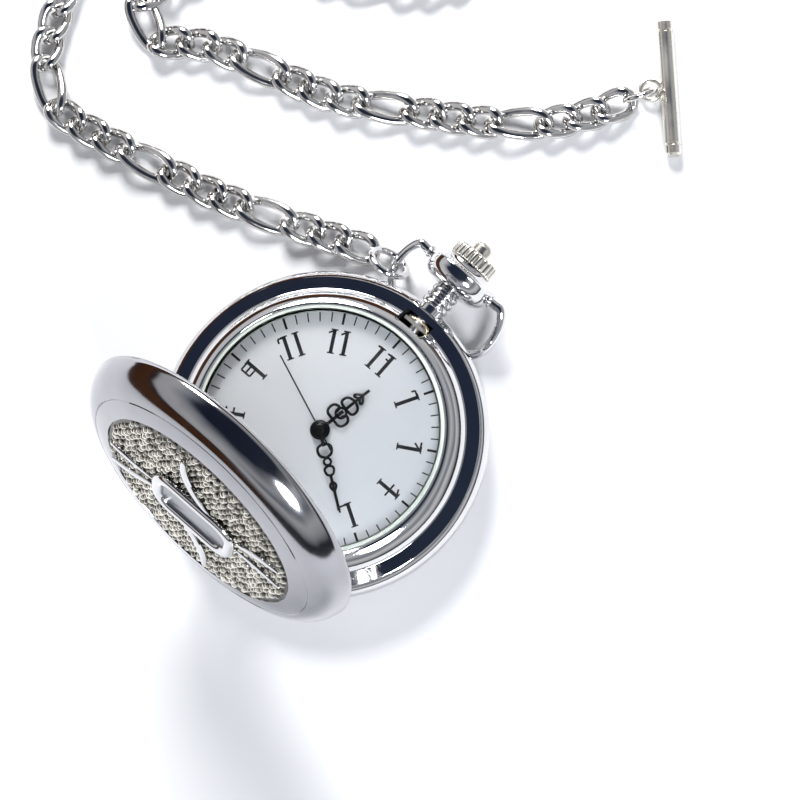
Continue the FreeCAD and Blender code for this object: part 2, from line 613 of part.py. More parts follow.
def make_catch():
    front, back = "slot_outer - 0.95", "slot_inner + 0.85"
    legs = [block(f"catch_leg_{side}", x, (back, front), ("slot_floor + 0.2", "catch_top"))
            for side, x in (("left", ("-slot_half + 0.45", "-stem_radius - 0.2")),
                            ("right", ("stem_radius + 0.2", "slot_half - 0.45")))]
    bridge = block("catch_bridge", ("-slot_half + 0.45", "slot_half - 0.45"), (back, f"{front} + 0.05"),
                   ("catch_top - 0.4", "catch_top"))
    node(fuse("lid_catch", bridge, *legs))


def make_pendant():
    bore = "stem_radius + run_gap"
    waist = "neck_radius - rib_depth"
    ribs = []
    for index in range(3):
        ribs += [(waist, f"case_radius + {index}*rib_pitch"), ("round", "0.54*rib_pitch", -1)]
    bell_start = "case_radius + 3*rib_pitch"
    shape = standing(turned("pendant_turned", [
        (bore, "neck_start"),
        (waist, "neck_start"),
        *ribs,
        (waist, bell_start),
        ("neck_radius + 0.3", f"{bell_start} + 0.35"),
        ("bell_radius - 0.35", "bell_height - 0.75"),
        ("round", "0.9", -1),
        ("bell_radius - 0.35", "bell_height + 0.5"),
        ("crown_radius + 0.1", "bell_end"),
        (bore, "bell_end"),
    ]))
    holes = [rod_x(f"bow_hole_{side}", "bow_pin_radius + run_gap", "2*bow_pin_depth",
                   x=f"{sign}bell_radius", y="bell_height", z="stem_height")
             for side, sign in (("left", "-"), ("right", ""))]
    node(cut("pendant", shape, *holes))


def make_crown():
    shape = turned("crown_turned", [
        ("stem_radius + run_gap", "crown_start"),
        ("crown_radius - 0.25", "crown_start"),
        ("crown_radius", "crown_start + 0.25"),
        ("crown_radius", "crown_start + crown_length - 0.3"),
        ("crown_radius - 0.3", "crown_start + crown_length"),
        ("button_radius + run_gap", "crown_start + crown_length"),
        ("button_radius + run_gap", "crown_start + crown_hub"),
        ("stem_radius + run_gap", "crown_start + crown_hub"),
    ])
    flutes = []
    for index in range(round(size("flute_count"))):
        angle = f"360/flute_count*{index}"
        flutes.append(rod(f"flute_{index}", "flute_radius", "crown_length + 0.2",
                          x=f"crown_radius*cos({angle})", y=f"crown_radius*sin({angle})",
                          z="crown_start - 0.1"))
    node(standing(cut("crown", shape, *flutes)))


def make_stem():
    tube = turned("stem_tube", [
        ("rod_radius + run_gap", "stem_inner_end"),
        ("stem_radius", "stem_inner_end"),
        ("stem_radius", "crown_start + crown_hub - fit_gap"),
        ("rod_radius + run_gap", "crown_start + crown_hub - fit_gap"),
    ])
    reach = ("-stem_radius - 1", "stem_radius + 1")
    window = block("stem_window", reach, ("-cross_pin_radius - run_gap", "cross_pin_radius + run_gap"),
                   ("cross_pin_place - cross_pin_radius - crown_pull - button_travel - 0.2",
                    "cross_pin_place + cross_pin_radius + 0.2"))
    node(standing(cut("setting_stem", tube, window)))


def make_button():
    cap = turned("button_turned", [
        (0, "cross_pin_place - 1"),
        ("rod_radius", "cross_pin_place - 1"),
        ("rod_radius", "button_end - button_length"),
        ("button_radius", "button_end - button_length"),
        ("button_radius", "button_end - 0.7"),
        ("round", "1", -1),
        ("button_radius - 0.7", "button_end"),
        (0, "button_end"),
    ])
    pin = rod_x("cross_pin", "cross_pin_radius", "2*(slot_half - 0.5)", z="cross_pin_place")
    node(standing(fuse("push_button", cap, pin)))


# ---------------------------------------------------------------- wires: bow, rings and chain

def smooth_path(points, closed=False):
    """Straight runs joined by tangent arcs, as large as half of the shorter run allows.

    Returns the runs as (start, end) and the arcs as (start, end, centre, normal, radius, turn).
    """
    count = len(points)
    corners = range(count) if closed else range(1, count - 1)
    arcs = {}
    for index in corners:
        before, corner, after = points[index - 1], points[index], points[(index + 1) % count]
        inward, outward = (corner - before), (after - corner)
        shorter = min(inward.Length, outward.Length)
        inward.normalize()
        outward.normalize()
        half_turn = inward.getAngle(outward) / 2
        trim = 0.45 * shorter
        radius = trim / math.tan(half_turn)
        start, end = corner - inward * trim, corner + outward * trim
        normal = inward.cross(outward).normalize()
        centre = start + normal.cross(inward) * radius
        arcs[index] = (start, end, centre, normal, radius, 2 * half_turn)
    runs = []
    for index in range(count if closed else count - 1):
        following = (index + 1) % count
        start = arcs[index][1] if index in arcs else points[index]
        end = arcs[following][0] if following in arcs else points[following]
        runs.append((start, end))
    return runs, list(arcs.values())


def wire_solid(points, radius, closed=False):
    """A round wire along a smooth path, built from cylinders and torus sectors."""
    runs, arcs = smooth_path(points, closed)
    pieces = [Part.makeCylinder(radius, (end - start).Length, start, end - start) for start, end in runs]
    for start, _, centre, normal, bend, turn in arcs:
        sector = Part.makeTorus(bend, radius, Vector(), Z_AXIS, -180, 180, math.degrees(turn))
        across = (start - centre).normalize()
        frame = FreeCAD.Matrix(across, normal.cross(across), normal, centre)
        sector.transformShape(frame)
        pieces.append(sector)
    return pieces[0].multiFuse(pieces[1:]).removeSplitter()


def shaped(name, shape):
    """A Part::Feature that holds a shape made here from sizes read from the sheet."""
    feature = doc.addObject("Part::Feature", name)
    feature.Shape = shape
    return feature


def make_bow():
    half, reach, wire = size("bow_half"), size("bow_reach"), size("bow_wire")
    start = size("bell_radius + 0.2")
    right = [(start, 0), (0.84 * half, 0), (half, -0.36 * reach), (0.93 * half, -0.8 * reach),
             (0.55 * half, -reach)]
    points = [Vector(x, y, 0) for x, y in right] + [Vector(-x, y, 0) for x, y in reversed(right)]
    loop = shaped("bow_loop", wire_solid(points, wire))
    collars, pins = [], []
    for side, sign in (("left", "-"), ("right", "")):
        collars.append(rod_x(f"bow_collar_{side}", "bow_wire + 0.3", 0.4, x=f"{sign}(bell_radius + 0.4)"))
        pins.append(rod_x(f"bow_pin_{side}", "bow_pin_radius", "bow_pin_depth",
                          x=f"{sign}(bell_radius + 0.3 - bow_pin_depth/2)"))
    node(place(fuse("bow", loop, *collars, *pins), y="bell_height", z="stem_height",
               axis=X_AXIS, angle="bow_drop"))


def along_bow(distance):
    """A point beside the pivots' middle, that far down the bow's plane, as y and z."""
    return (f"bell_height - ({distance})*cos(bow_drop)", f"stem_height - ({distance})*sin(bow_drop)")


def jump_ring_place():
    """The middle of the jump ring, which hangs on the left side of the bow."""
    return ("-0.965*bow_half - (ring_radius - ring_wire - bow_wire - 0.25)", *along_bow("0.6*bow_reach"))


def make_jump_ring():
    x, y, z = jump_ring_place()
    ring_by_bow = primitive("Torus", "jump_ring", Radius1="ring_radius", Radius2="ring_wire")
    node(place(ring_by_bow, x=x, y=y, z=z, axis=X_AXIS, angle="bow_drop - 90"))


def link_solid(half_length):
    """One closed curb link: an oval loop whose wire rises and falls twice round the loop."""
    width, twist, wire = size("link_half_width"), size("link_twist"), size("link_wire")
    corners = 12
    points = []
    for index in range(corners):
        angle = 2 * math.pi * (index + 0.5) / corners
        bulge = 1 / math.cos(math.pi / corners)
        points.append(Vector(half_length * math.cos(angle), width * math.sin(angle),
                             twist * math.sin(2 * angle)) * bulge)
    return wire_solid(points, wire, closed=True)


def chain_places():
    """The contact points of the chain and its kinds of link: three short, one long, and so on.

    Each link spans two contact points on the route, as far apart as the link is long inside.
    The route is shifted so that it starts beside the jump ring.
    """
    ring_x, ring_y, _ = jump_ring_place()
    start = Vector(size(f"{ring_x} - ring_radius - 2.2"), size(f"{ring_y} - 0.67"), 0)
    shift = start - Vector(*CHAIN_ROUTE[0], 0)
    curve = Part.BSplineCurve()
    curve.interpolate([Vector(x, y, 0) + shift for x, y in CHAIN_ROUTE])
    route = curve.discretize(Number=2000)
    spans = {"short": size("short_pitch"), "long": size("long_pitch")}
    contacts, kinds, leg = [route[0]], [], 0
    while True:
        kind = "long" if len(kinds) % 4 == 3 else "short"
        while leg < len(route) - 1 and (route[leg] - contacts[-1]).Length < spans[kind]:
            leg += 1
        if (route[leg] - contacts[-1]).Length < spans[kind]:
            return contacts, kinds
        towards = (route[leg] - contacts[-1]).normalize()
        contacts.append(contacts[-1] + towards * spans[kind])
        kinds.append(kind)


def make_chain():
    solids = {"short": link_solid(size("short_half")), "long": link_solid(size("long_half"))}
    height = size("link_twist + link_wire")
    groups = {"short": [], "long": []}
    contacts, kinds = chain_places()
    for kind, start, end in zip(kinds, contacts, contacts[1:]):
        heading = math.degrees(math.atan2(end.y - start.y, end.x - start.x))
        middle = (start + end) * 0.5
        link = solids[kind].copy()
        link.Placement = FreeCAD.Placement(Vector(middle.x, middle.y, height), Rotation(Z_AXIS, heading))
        groups[kind].append(link)
    for kind, links in groups.items():
        node(shaped(f"chain_{kind}_links", Part.Compound(links)))
    length = sum((end - start).Length for start, end in zip(contacts, contacts[1:]))
    turns = [math.degrees((middle - start).getAngle(end - middle))
             for start, middle, end in zip(contacts, contacts[1:], contacts[2:])]
    print(f"chain: {len(kinds)} links, {length:.1f} mm, turns {[round(turn) for turn in turns]}")
    return contacts[-1], (contacts[-1] - contacts[-2]).normalize()


def make_t_bar(chain_end, heading):
    """The T-bar, its eye, and the ring that joins the eye to the chain's last link."""
    half = "bar_length/2"
    end = [("bar_radius", "bar_groove + bar_groove_half"), ("bar_radius - bar_bead", "bar_groove"),
           ("bar_radius", "bar_groove - bar_groove_half"), ("bar_radius", "0.25"), ("bar_radius - 0.25", "0"),
           (0, "0")]
    profile = [(radius, f"-{half} + {inset}") for radius, inset in reversed(end)]
    profile += [(radius, f"{half} - ({inset})") for radius, inset in end]
    bar = place(turned("bar_turned", profile), axis=Y_AXIS, angle=90)
    eye = primitive("Torus", "bar_eye", Radius1="eye_radius", Radius2="eye_wire")
    eye_out = "bar_radius + eye_radius - 0.1"
    place(eye, y=f"-({eye_out})")
    whole = fuse("t_bar", bar, eye)
    # The ring leans to the right of the chain's heading, square to the end of the last link.
    radius, wire, lean = size("bar_ring_radius"), size("bar_ring_wire"), math.radians(size("bar_ring_lean"))
    height = radius * math.sin(lean) + wire
    left = Vector(-heading.y, heading.x, 0)
    out = Vector(-math.sin(math.radians(BAR_ANGLE)), math.cos(math.radians(BAR_ANGLE)), 0)
    middle = chain_end + heading * size("short_half - short_pitch/2 + bar_ring_reach")
    ring_on_bar = primitive("Torus", "t_bar_ring", Radius1="bar_ring_radius", Radius2="bar_ring_wire")
    node(place(ring_on_bar, x=middle.x, y=middle.y, z=height))
    heading_angle = math.degrees(math.atan2(heading.y, heading.x))
    ring_on_bar.Placement.Rotation = Rotation(Z_AXIS, heading_angle) * Rotation(X_AXIS, -math.degrees(lean))
    # Where the ring passes through the eye, which lies flat at the height of the bar's axis.
    below = (height - size("bar_radius")) / math.sin(lean)
    crossing = middle + heading * math.sqrt(radius**2 - below**2) + left * below * math.cos(lean)
    centre = crossing + out * size(eye_out)
    node(place(whole, x=centre.x, y=centre.y, z="bar_radius", angle=BAR_ANGLE))


# ---------------------------------------------------------------- dial and hands

def make_dial():
    plate = ring("dial_plate", "dial_hole", "dial_radius", "dial_top - dial_wall", "dial_top")
    feet = [rod(f"dial_foot_{index}", 0.4, "dial_top - dial_wall - plate_top",
                x=f"{sign}foot_place", z="plate_top") for index, sign in enumerate(("", "-"))]
    node(fuse("dial", plate, *feet))


def hand(name, half_outline, hub, bore, base, angle):
    """A flat hand that points to 12 o'clock before it is turned; the outline is its left half."""
    right = [(f"-({x})", y) for x, y in reversed(half_outline) if str(x) != "0"]
    blade = slab(f"{name}_blade", [*half_outline, *right], 0, "hand_wall")
    eye = rod(f"{name}_hub", hub, "hand_wall")
    hole = rod(f"{name}_bore", bore, 1, z=-0.5)
    shape = cut(name, fuse(f"{name}_joined", blade, eye), hole)
    return node(place(shape, z=base, axis=Z_AXIS, angle=f"-{angle}"))


def make_hands():
    hand("hour_hand", [("-0.2", "0.8"), ("-0.2", "0.35*hour_hand_length"), ("-1.1", "0.52*hour_hand_length"),
                       ("-0.3", "0.66*hour_hand_length"), ("-0.9", "0.74*hour_hand_length"),
                       ("0", "hour_hand_length")],
         "hour_hub", "hour_tube_radius", "hour_hand_base", "hour_angle")
    hand("minute_hand", [("-0.18", "0.5"), ("-0.18", "0.45*minute_hand_length"),
                         ("-0.6", "0.55*minute_hand_length"), ("-0.2", "0.66*minute_hand_length"),
                         ("-0.7", "0.82*minute_hand_length"), ("0", "minute_hand_length")],
         "minute_hub", "cannon_radius", "minute_hand_base", "minute_angle")
    hand("second_hand", [("-0.09", "-0.3*second_hand_length"), ("-0.09", "0.7*second_hand_length"),
                         ("0", "second_hand_length")],
         "second_hub", "seconds_radius", "second_hand_base", "second_angle")


# ---------------------------------------------------------------- movement

# Places of the axes in plan, and of the bridge's posts; the hands' axis is at (0, 0).
INTERMEDIATE_AT = ("first_distance*cos(45)", "first_distance*sin(45)")
ROTOR_AT = (f"{INTERMEDIATE_AT[0]} + rotor_distance*cos(25.85)",
            f"{INTERMEDIATE_AT[1]} + rotor_distance*sin(25.85)")
THIRD_AT = ("-centre_distance*cos(45)", "-centre_distance*sin(45)")
MINUTE_WHEEL_AT = ("0", "motion_distance")


def in_movement(*numbers):
    """Distances in a movement of radius 13 mm, as expressions that grow with the movement."""
    return tuple(f"{number}*gear_scale" for number in numbers)


BRIDGE_POSTS = [in_movement(-3.6, 4.6), in_movement(5.9, 0.2), in_movement(1.2, -4.4)]


def stepped(name, steps, bore=0, at=("0", "0")):
    """A turned arbor of discs on one axis: (radius, low, high) from the bottom up."""
    outline = [(bore, steps[0][1])]
    for radius, low, high in steps:
        outline += [(radius, low), (radius, high)]
    outline.append((bore, steps[-1][2]))
    return place(turned(name, outline), x=at[0], y=at[1])


def make_train():
    """The wheels and pinions, each a plain disc a little smaller than its pitch circle."""
    foot, top = "bridge_base + bridge_wall - 0.2", "plate_base + 0.3"
    node(stepped("seconds_wheel", [
        ("seconds_radius", foot, "seconds_level"),
        ("seconds_wheel_radius - mesh_gap", "seconds_level", "seconds_level + wheel_wall"),
        ("seconds_radius", "seconds_level + wheel_wall", "third_level - 0.05"),
        ("seconds_pinion_radius - mesh_gap", "third_level - 0.05", "third_level + wheel_wall + 0.05"),
        ("seconds_radius", "third_level + wheel_wall + 0.05", "second_hand_base + hand_wall"),
    ]))
    node(stepped("intermediate_wheel", [
        ("arbor_radius", foot, "seconds_level - 0.08"),
        ("intermediate_pinion_radius - mesh_gap", "seconds_level - 0.08", "intermediate_level"),
        ("intermediate_wheel_radius - mesh_gap", "intermediate_level", "intermediate_level + wheel_wall"),
        ("arbor_radius", "intermediate_level + wheel_wall", top),
    ], at=INTERMEDIATE_AT))
    node(stepped("rotor", [
        ("arbor_radius", foot, "intermediate_level - 0.08"),
        ("rotor_pinion_radius - mesh_gap", "intermediate_level - 0.08", "intermediate_level + 0.25"),
        ("arbor_radius", "intermediate_level + 0.25", "magnet_base"),
        ("magnet_radius", "magnet_base", "magnet_base + magnet_height"),
        ("arbor_radius", "magnet_base + magnet_height", top),
    ], at=ROTOR_AT))
    node(stepped("third_wheel", [
        ("arbor_radius", foot, "third_level"),
        ("third_wheel_radius - mesh_gap", "third_level", "third_level + wheel_wall"),
        ("arbor_radius", "third_level + wheel_wall", "centre_level - 0.07"),
        ("third_pinion_radius - mesh_gap", "centre_level - 0.07", "centre_level + wheel_wall + 0.08"),
        ("arbor_radius", "centre_level + wheel_wall + 0.08", top),
    ], at=THIRD_AT))
    node(stepped("centre_wheel", [
        ("cannon_radius", "centre_level - 0.07", "centre_level"),
        ("centre_wheel_radius - mesh_gap", "centre_level", "centre_level + wheel_wall"),
        ("cannon_radius", "centre_level + wheel_wall", "plate_top + 0.1"),
        ("cannon_pinion_radius - mesh_gap", "plate_top + 0.1", "plate_top + 0.25"),
        ("cannon_radius", "plate_top + 0.25", "minute_hand_base + hand_wall"),
    ], bore="seconds_radius + tube_gap"))
    node(stepped("minute_wheel", [
        ("minute_wheel_radius - mesh_gap", "plate_top + 0.1", "plate_top + 0.22"),
        ("minute_pinion_radius - mesh_gap", "plate_top + 0.22", "plate_top + 0.48"),
    ], bore="0.25*gear_scale + run_gap", at=MINUTE_WHEEL_AT))
    node(stepped("hour_wheel", [
        ("hour_wheel_radius - mesh_gap", "plate_top + 0.32", "plate_top + 0.46"),
        ("hour_tube_radius", "plate_top + 0.46", "hour_hand_base + hand_wall"),
    ], bore="cannon_radius + tube_gap"))


def drill(name, radius, at, z):
    """A hole 3 mm deep upwards from height z."""
    return rod(name, radius, 3, x=at[0], y=at[1], z=z)


def bearings(name, z):
    """Holes for the arbors of the intermediate wheel, the rotor and the third wheel."""
    return [drill(f"{name}_{index}", "arbor_radius + arbor_gap", at, z)
            for index, at in enumerate((INTERMEDIATE_AT, ROTOR_AT, THIRD_AT))]


def make_plate():
    rim_foot = "bridge_base"
    shape = turned("plate_turned", [
        (0, "plate_base"),
        ("movement_radius - 0.8*gear_scale", "plate_base"),
        ("movement_radius - 0.8*gear_scale", rim_foot),
        ("movement_radius", rim_foot),
        ("movement_radius", "plate_top"),
        (0, "plate_top"),
    ])
    stud = rod("minute_wheel_stud", "0.25*gear_scale", 0.55, x=MINUTE_WHEEL_AT[0], y=MINUTE_WHEEL_AT[1],
               z="plate_top")
    posts = [rod(f"bridge_post_{index}", "0.7*gear_scale", "plate_base - bridge_base - bridge_wall", x=x, y=y,
                 z="bridge_base + bridge_wall") for index, (x, y) in enumerate(BRIDGE_POSTS)]
    holes = [drill("centre_bearing", "cannon_radius + run_gap", ("0", "0"), "plate_base - 1")]
    holes += bearings("bearing", "plate_base - 1")
    holes.append(rod_y("plate_stem_hole", "stem_radius + run_gap", "stem_inner_end - 0.3",
                       "movement_radius + 1"))
    holes += [drill(f"dial_foot_hole_{index}", 0.45, (f"{sign}foot_place", "0"), "plate_base - 1")
              for index, sign in enumerate(("", "-"))]
    node(cut("main_plate", fuse("plate_joined", shape, stud, *posts), *holes))


def make_bridge():
    outline = [in_movement(x, y) for x, y in [(-4.6, 3.4), (-2.6, 5.6), (4.8, 4.4), (7.0, 1.2), (6.4, -0.8),
                                              (2.2, -5.4), (0.2, -5.2), (-4.0, -2.6)]]
    plate = slab("bridge_plate", outline, "bridge_base", "bridge_wall")
    holes = [drill("seconds_bearing", "seconds_radius + arbor_gap", ("0", "0"), "bridge_base - 1")]
    node(cut("train_bridge", plate, *holes, *bearings("bridge_bearing", "bridge_base - 1")))
    screws = [rod(f"screw_{index}", "screw_radius", "screw_head", x=x, y=y, z="bridge_base - screw_head")
              for index, (x, y) in enumerate(BRIDGE_POSTS)]
    node(bundle("bridge_screws", screws))


def make_battery():
    """The button cell, lying in the movement, and the strip that holds it."""
    x, y = in_movement(-7.1, -5.0)
    top = "plate_base - 0.05"
    node(rod("battery", "battery_radius", "battery_height", x=x, y=y, z=f"{top} - battery_height"))
    node(block("battery_clamp", in_movement(-10.3, -3.9), in_movement(-6.0, -4.4),
               (f"{top} - battery_height - 0.25", f"{top} - battery_height")))


def make_circuit():
    """The circuit board with its chip below it, and the tuning crystal in its can."""
    underside = "plate_base - 0.5"
    corners = [(3.2, -10.8), (8.6, -7.6), (7.0, -6.4), (-2.6, -6.4), (-3.4, -10.6)]
    node(slab("circuit_board", [in_movement(x, y) for x, y in corners], underside, 0.4))
    node(block("timing_chip", in_movement(2.2, 4.4), in_movement(-9.4, -7.2),
               (f"{underside} - 0.7", underside)))
    x, y = in_movement(-3.2, -8.2)
    node(rod("quartz_crystal", "0.75*gear_scale", "5*gear_scale", x=x, y=y,
             z=f"{underside} - 0.75*gear_scale", axis=Y_AXIS, angle=90))


def make_motor():
    """The drive coil, the ends of its core, and the stator plate round the rotor's magnet."""
    height = "plate_base - coil_radius - 0.1"
    x = "coil_place*gear_scale"
    low, high = in_movement(-4.6, 4.4)
    node(rod_y("drive_coil", "coil_radius", low, high, x=x, z=height))
    core = rod_y("coil_core_rod", "core_radius", f"{low} - 1", f"{high} + 1.2", x=x, z=height)
    node(cut("coil_core", core, rod_y("coil_core_space", "coil_radius + 0.1", low, high, x=x, z=height)))
    corners = [(2.3, 1.5), (8.3, 1.5), (8.3, 3.9), (2.3, 3.9)]
    stator = slab("stator_plate", [in_movement(x, y) for x, y in corners], "magnet_base + 0.1", "stator_wall")
    spaces = [drill("stator_hole", "magnet_radius + 0.15", ROTOR_AT, "magnet_base - 1"),
              drill("stator_post_space", "0.75*gear_scale", BRIDGE_POSTS[1], "magnet_base - 1"),
              drill("stator_arbor_space", 0.4, INTERMEDIATE_AT, "magnet_base - 1")]
    node(cut("stator", stator, *spaces))


def make_holder():
    shape = turned("holder_ring", [
        ("movement_radius + 0.1", "back_wall + 0.05"),
        ("back_flat - 0.2", "back_wall + 0.05"),
        ("holder_radius", "back_wall + 1.5"),
        ("holder_radius", "bezel_foot - 0.1"),
        ("dial_radius - 0.05", "bezel_foot - 0.1"),
        ("dial_radius - 0.05", "dial_top - dial_wall - 0.1"),
        ("movement_radius + 0.1", "dial_top - dial_wall - 0.1"),
    ])
    tunnel = rod_y("holder_stem_hole", "stem_radius + 0.15", "movement_radius - 1", "holder_radius + 1")
    notch = block("holder_catch_notch", ("-slot_half", "slot_half"), ("slot_inner - 1", "holder_radius + 1"),
                  ("slot_floor", "dial_top"))
    node(cut("movement_holder", shape, tunnel, notch))


# ---------------------------------------------------------------- build

def write_nodes():
    """Checks every object and writes each sub-part to its own file."""
    doc.recompute()
    for obj in doc.Objects:
        if any(state in ("Invalid", "Error") for state in obj.State):
            raise RuntimeError(f"{obj.Label} did not build: {obj.State}")
    for obj in NODES:
        if obj.Shape.isNull() or not obj.Shape.isValid():
            raise RuntimeError(f"{obj.Label} has no valid shape")
    os.makedirs("parts", exist_ok=True)
    for obj in NODES:
        obj.Shape.exportStep(os.path.join("parts", f"{obj.Label}.step"))
        box = obj.Shape.BoundBox
        print(f"{obj.Label}: {len(obj.Shape.Solids)} solid(s), {obj.Shape.Volume:.3f} mm3, "
              f"z {box.ZMin:.2f} to {box.ZMax:.2f}")


for make in (make_case_middle, make_back, make_bezel_and_crystal, make_lid, make_medallion, make_springs,
             make_catch, make_pendant, make_crown, make_stem, make_button, make_bow, make_jump_ring,
             make_dial, make_hands, make_train, make_plate, make_bridge, make_battery, make_circuit,
             make_motor, make_holder):
    make()
make_t_bar(*make_chain())
write_nodes()
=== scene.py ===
import json
import math

import bpy
import numpy as np
from mathutils import Matrix, Vector


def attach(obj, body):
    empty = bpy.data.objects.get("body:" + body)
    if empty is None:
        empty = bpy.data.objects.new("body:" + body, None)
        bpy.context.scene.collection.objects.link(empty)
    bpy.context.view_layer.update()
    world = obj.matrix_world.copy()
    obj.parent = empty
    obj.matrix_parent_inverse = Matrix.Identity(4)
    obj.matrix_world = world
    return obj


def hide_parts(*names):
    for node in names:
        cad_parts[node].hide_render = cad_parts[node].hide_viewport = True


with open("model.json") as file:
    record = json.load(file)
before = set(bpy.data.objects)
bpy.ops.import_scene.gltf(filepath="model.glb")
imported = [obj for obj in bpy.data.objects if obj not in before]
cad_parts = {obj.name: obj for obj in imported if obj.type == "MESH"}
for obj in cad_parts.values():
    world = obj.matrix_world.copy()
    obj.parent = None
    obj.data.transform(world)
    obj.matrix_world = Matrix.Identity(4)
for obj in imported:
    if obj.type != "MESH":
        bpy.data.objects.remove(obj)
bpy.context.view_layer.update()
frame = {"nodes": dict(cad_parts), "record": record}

MM = 0.001

# ---------------------------------------------------------------- sizes that repeat the part's own

LID_OPEN = math.radians(72.1)
HINGE = np.array([0.0, -22.04, 8.7])
LID_RADIUS, LID_RIM_HEIGHT, LID_LIP_RADIUS = 22.04, 7.42, 20.2
GROOVE_RADIUS, GROOVE_HEIGHT = 18.4, 12.3
MEDALLION_RADIUS, MEDALLION_EDGE, MEDALLION_TOP = 15.6, 12.85, 13.15
LID_WALL = 0.5
BEZEL_RADIUS, BEZEL_TOP, BEZEL_FOOT, BEZEL_BORE = 18.9, 9.7, 6.85, 16.95
SLOT_HALF, SLOT_INNER = 2.25, 18.1
DIAL_TOP, INK_RISE, HAND_HALF_THICK = 8.0, 0.012, 0.07
STEM_HEIGHT = 6.0
BELL_RADIUS, BELL_HEIGHT, BELL_END = 5.0, 28.25, 29.8
NECK_RADIUS, RIB_DEPTH, RIB_PITCH, NECK_FOOT = 2.05, 0.4, 1.0, 22.5
CROWN_RADIUS, CROWN_START, CROWN_LENGTH, FLUTES = 3.4, 30.05, 2.0, 24
BUTTON_RADIUS = 1.5
BOW_WIRE, BOW_HALF, BOW_REACH, BOW_DROP = 0.65, 8.5, 9.3, math.radians(34.8)
RING_RADIUS, RING_WIRE, RING_STEPS = 2.7, 0.5, 72
SHORT_HALF, LONG_HALF, LINK_HALF_WIDTH = 2.75, 4.2, 1.72
SHORT_PITCH, LONG_PITCH, LINK_TWIST = 4.15, 7.05, 0.8
HAND_TIMES = {"hour": 10.4, "minute": 124.8, "second": 290.7}
HAND_HEIGHTS = {"hour": 8.52, "minute": 8.84, "second": 9.14}

CHAIN_ROUTE = [
    (-12.9, 23.4), (-22.6, 19.7), (-34.0, 15.4), (-45.0, 12.9), (-54.0, 10.9), (-60.6, 9.6),
    (-65.6, 12.6), (-69.2, 19.6), (-72.0, 26.5), (-74.8, 33.6), (-76.2, 41.6), (-73.2, 49.8),
    (-66.4, 56.2), (-56.8, 63.2), (-47.4, 69.6), (-38.6, 72.4), (-30.8, 69.6), (-28.0, 63.0),
    (-31.8, 56.8), (-40.0, 51.6), (-50.0, 46.0), (-58.0, 39.6), (-61.2, 32.0), (-62.6, 24.6),
    (-57.0, 24.6), (-51.2, 30.4), (-45.6, 32.0), (-38.0, 34.4), (-31.6, 35.8), (-25.6, 39.6),
    (-18.6, 43.6), (-12.0, 47.6), (-7.0, 51.4), (-3.4, 55.8), (-1.0, 59.4), (0.3, 62.2),
]
LINKS = 59
LINK_HALF_WIDE, LINK_HALF_THICK = 0.70, 0.54
LINK_ROLL, LINK_LOWEST = 7, 0.02
UP = (0.0, 0.0, 1.0)
CHAIN_HEIGHT = 1.4

# ---------------------------------------------------------------- camera, lights and floor


def make_camera():
    """A long lens looking down at the dial from about 0.5 m."""
    camera = bpy.data.objects.new("camera", bpy.data.cameras.new("camera"))
    bpy.context.collection.objects.link(camera)
    camera.data.sensor_width = 36.0
    camera.data.lens = 167.86
    camera.data.clip_start, camera.data.clip_end = 0.01, 10.0
    right = Vector((0.74310, 0.65974, -0.11205))
    up = Vector((-0.63704, 0.74869, 0.18345))
    back = right.cross(up)
    turn = Matrix((right, up, back)).transposed().to_4x4()
    camera.matrix_world = Matrix.Translation(Vector((107.895, -22.406, 496.411)) * MM) @ turn
    bpy.context.scene.camera = camera


def area_light(name, place, target, size, power, colour=(1.0, 1.0, 1.0)):
    """A round soft light at a place, turned towards a target, with its power in watts."""
    light = bpy.data.lights.new(name, "AREA")
    light.shape, light.size, light.energy, light.color = "DISK", size * MM, power, colour
    lamp = bpy.data.objects.new(name, light)
    bpy.context.collection.objects.link(lamp)
    lamp.location = Vector(place) * MM
    lamp.rotation_mode = "QUATERNION"
    lamp.rotation_quaternion = (Vector(target) - Vector(place)).to_track_quat("-Z", "Y")


def ramp_node(nodes, stops):
    """A colour ramp from (position, colour) stops."""
    made = nodes.new("ShaderNodeValToRGB")
    elements = made.color_ramp.elements
    elements[0].position, elements[1].position = stops[0][0], stops[-1][0]
    elements[0].color, elements[1].color = (*stops[0][1], 1), (*stops[-1][1], 1)
    for position, colour in stops[1:-1]:
        elements.new(position).color = (*colour, 1)
    return made


